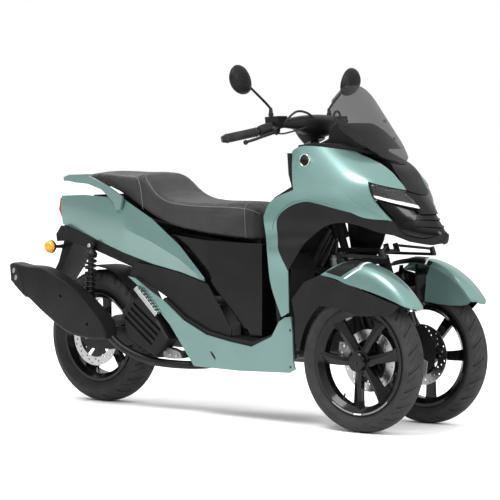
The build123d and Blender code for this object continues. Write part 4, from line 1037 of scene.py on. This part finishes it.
cover_line = [(640.9, 304), (686.5, 359.2), (775.3, 356.8), (823.3, 299.2), (818.5, 227.2), (782.5, 191.2),
              (681.7, 193.6), (638.5, 244)]
cap_line = [(685.5, 241.2), (740.5, 255.6), (790.5, 231.6), (783, 178.8), (733, 154.8), (688, 186)]
for side, outward in sides:
    spot = (-857, outward * 128, 601)
    dome(f"indicator_lens_{side}", spot, outward, 25,
         [(1, 6), (1, 12), (0.94, 18), (0.8, 22), (0.5, 25.5), (0.02, 27)], "chassis", "amber_lens",
         node="indicators" if outward < 0 else None, squeeze=0.94)
    dome(f"indicator_shell_{side}", spot, outward, 26, [(0.3, -10), (0.8, -7), (0.98, 0), (1, 7), (0.96, 7)],
         "chassis", "dark_plastic", squeeze=0.94)
    lathe_along(f"indicator_stalk_{side}", (-857, outward * 64, 600), (-857, outward * 122, 601),
                [(0, 9), (0.2, 7), (0.8, 6), (1, 8)], "chassis", "rubber")
    badge = (459, outward * 190.5, 951)
    dome(f"round_place_{side}", badge, outward, 21,
         [(1, -9), (1, 2.2), (0.9, 3.2), (0.86, 2.4), (0.02, 2.0)], "chassis", "gloss_black")
    dome(f"round_place_ring_{side}", badge, outward, 22.5,
         [(1, -9), (1, 2.6), (0.97, 3.4), (0.92, 3.4), (0.9, 2)], "chassis", "chrome")
    block(f"hub_cover_{side}", cover_line, *on_side(outward, 101, 105), f"fork_{side}", "dark_plastic",
          0.0015)
    block(f"hub_cap_{side}", cap_line, *on_side(outward, 98, 101.5), f"fork_{side}", "alloy", 0.002)
end_plate = runs([(-972, 531), (-958, 538), (-938, 533)], (-898, 446), (-900, 420), (-966, 470), steps=4)
plate_holes = ((-952, 509), (-941, 482))
plate_piece = mesh_object("muffler_end_plate", *prism(end_plate, -243.6, -240))
for x, z in plate_holes:
    hole = [(x + 8 * math.cos(a) + 2.2 * math.sin(a), z + 11.5 * math.sin(a)) for a in turn_angles(20)]
    combine(plate_piece, "DIFFERENCE", "hole", prism(hole, -250, -230))
finish_piece(plate_piece, "chassis", "black_metal", bevel=0.001)
for k, (x, z) in enumerate(plate_holes):
    disc_piece(f"muffler_hole_{k}", x, z, -242.6, -241.8, 11, "chassis", "alloy")
for k, (x, y, z) in enumerate(((585.7, 112, 1089.7), (640, 96, 1026))):
    for side, outward in sides:
        dome(f"screen_bolt_{side}_{k}", (x, outward * y, z), outward, 5.5,
             [(1, -3), (1, 3), (0.7, 4.6), (0.02, 5)], "chassis", "black_metal", steps=16)


# Dark trim that closes the gap between the tail blade and the covers below it.
tail_lows = [(-832, 690, 88), (-700, 655, 108), (-467, 590, 135), (-300, 552, 150), (-170, 532, 162)]
trim_section = [(3, 16), (7, -14), (15, -40), (18, -40), (10, -14), (7, 16)]
for side, outward in sides:
    rings = [[(x, outward * (y - back), z + up) for back, up in trim_section] for x, z, y in tail_lows]
    add_piece(f"tail_trim_{side}", rings_mesh(rings), "chassis", "dark_plastic", bevel=0.001)

for side, outward in sides:
    fork = f"fork_{side}"
    caliper = [(594, 262), (600, 312), (642, 311), (657, 283), (636, 254), (602, 249)]
    block(f"caliper_{side}", caliper, *on_side(outward, 165.5, 171), fork, "alloy", 0.002)
    for k, (x, z) in enumerate(((612, 268), (622, 298))):
        dome(f"caliper_bolt_{side}_{k}", (x, outward * 171, z), outward, 10,
             [(1, -1), (1, 2.5), (0.8, 4.2), (0.02, 4.4)], fork, "steel", steps=18)
    for k, spread in enumerate((30, -30)):
        low, high = [(front_x + spread - (z - front_z) * math.tan(rake), outward * kingpin_y, z)
                     for z in (402, 496)]
        lathe_along(f"fork_tube_{side}_{k}", low, high, [(0, 13.6), (1, 13.6)], fork, "chrome")
    for k, (x, y) in enumerate(((478, 36), (540, 23))):
        lathe_along(f"lean_stud_{side}_{k}", (x, outward * y, 552), (x - 8, outward * y, 606),
                    [(0, 12), (0.3, 12), (0.32, 15), (0.86, 15), (0.9, 10), (1, 10)], "chassis", "alloy",
                    steps=20)
engine_foot = runs((-262, 246), (-214, 240), [(-172, 226), (-160, 204)], [(-214, 201), (-252, 208),
                    (-262, 246)], steps=4)
hook = [(116, 640), (140, 640), (144, 622), (138, 614), (118, 617)]
block("bag_hook", hook, -96, -64, "chassis", "gloss_black", 0.002)
block("engine_foot", engine_foot, -150, -118, "chassis", "alloy", 0.003)
for k, (x, z) in enumerate(((-246, 226), (-216, 218), (-186, 214))):
    dome(f"engine_bolt_{k}", (x, -150, z), -1, 6.5, [(1, -1), (1, 4), (0.8, 5), (0.02, 5.2)], "chassis",
         "steel", steps=6)


# ------------------------------------------------------------- stage and view
def look_at(thing, target):
    thing.rotation_euler = (Vector(target) - thing.location).to_track_quat("-Z", "Y").to_euler()


def add_light(name, at, target, size, power):
    data = bpy.data.lights.new(name, "AREA")
    data.shape, data.size, data.energy = "DISK", size, power
    light = bpy.data.objects.new(name, data)
    light.location = at
    scene.collection.objects.link(light)
    look_at(light, target)


def build_stage():
    floor_mesh = bpy.data.meshes.new("floor")
    reach = 30.0
    corners = [(-reach, -reach, 0), (reach, -reach, 0), (reach, reach, 0), (-reach, reach, 0)]
    floor_mesh.from_pydata(corners, [], [(0, 1, 2, 3)])
    floor = bpy.data.objects.new("floor", floor_mesh)
    scene.collection.objects.link(floor)
    p = Paint("floor_white", Roughness=0.9, Specular_IOR_Level=0.1)
    p.set("Base Color", p.shades(p.noise(2.0), [(0.3, 0.955), (0.7, 0.965)]))
    floor.data.materials.append(p.material)

    world = bpy.data.worlds.new("studio")
    scene.world = world
    world.use_nodes = True
    tree = world.node_tree
    background = tree.nodes["Background"]
    rays = tree.nodes.new("ShaderNodeLightPath")
    place = tree.nodes.new("ShaderNodeTexCoord")
    split = tree.nodes.new("ShaderNodeSeparateXYZ")
    tree.links.new(place.outputs["Generated"], split.inputs[0])
    sky = tree.nodes.new("ShaderNodeMapRange")
    sky.interpolation_type = "SMOOTHSTEP"
    tree.links.new(split.outputs["Z"], sky.inputs["Value"])
    for socket, value in (("From Min", -0.05), ("From Max", 0.75), ("To Min", 0.3), ("To Max", 1.6)):
        sky.inputs[socket].default_value = value
    seen = tree.nodes.new("ShaderNodeMix")
    tree.links.new(rays.outputs["Is Camera Ray"], seen.inputs["Factor"])
    tree.links.new(sky.outputs["Result"], seen.inputs["A"])
    seen.inputs["B"].default_value = 1.0
    tree.links.new(seen.outputs["Result"], background.inputs["Strength"])
    background.inputs["Color"].default_value = (1, 1, 1, 1)


camera_azimuth, camera_elevation = math.radians(39.91), math.radians(2.82)
camera_distance, camera_target = 9.517, Vector((0.046, 0.0, 0.6112))


def build_camera():
    data = bpy.data.cameras.new("camera")
    data.sensor_width, data.lens = 36.0, 184.3
    camera = bpy.data.objects.new("camera", data)
    flat = math.cos(camera_elevation)
    camera.location = camera_target + camera_distance * Vector(
        (math.sin(camera_azimuth) * flat, -math.cos(camera_azimuth) * flat, math.sin(camera_elevation)))
    scene.collection.objects.link(camera)
    look_at(camera, camera_target)
    scene.camera = camera


build_stage()
build_camera()
add_light("key", (0.5, -3.0, 5.0), (0.0, 0.0, 0.5), 2.4, 205)
add_light("front", (5.0, -1.5, 2.6), (0.4, 0.0, 0.6), 1.8, 120)
add_light("rear", (-4.5, 1.5, 3.2), (-0.4, 0.0, 0.6), 2.0, 60)
scene.view_settings.view_transform = "Standard"
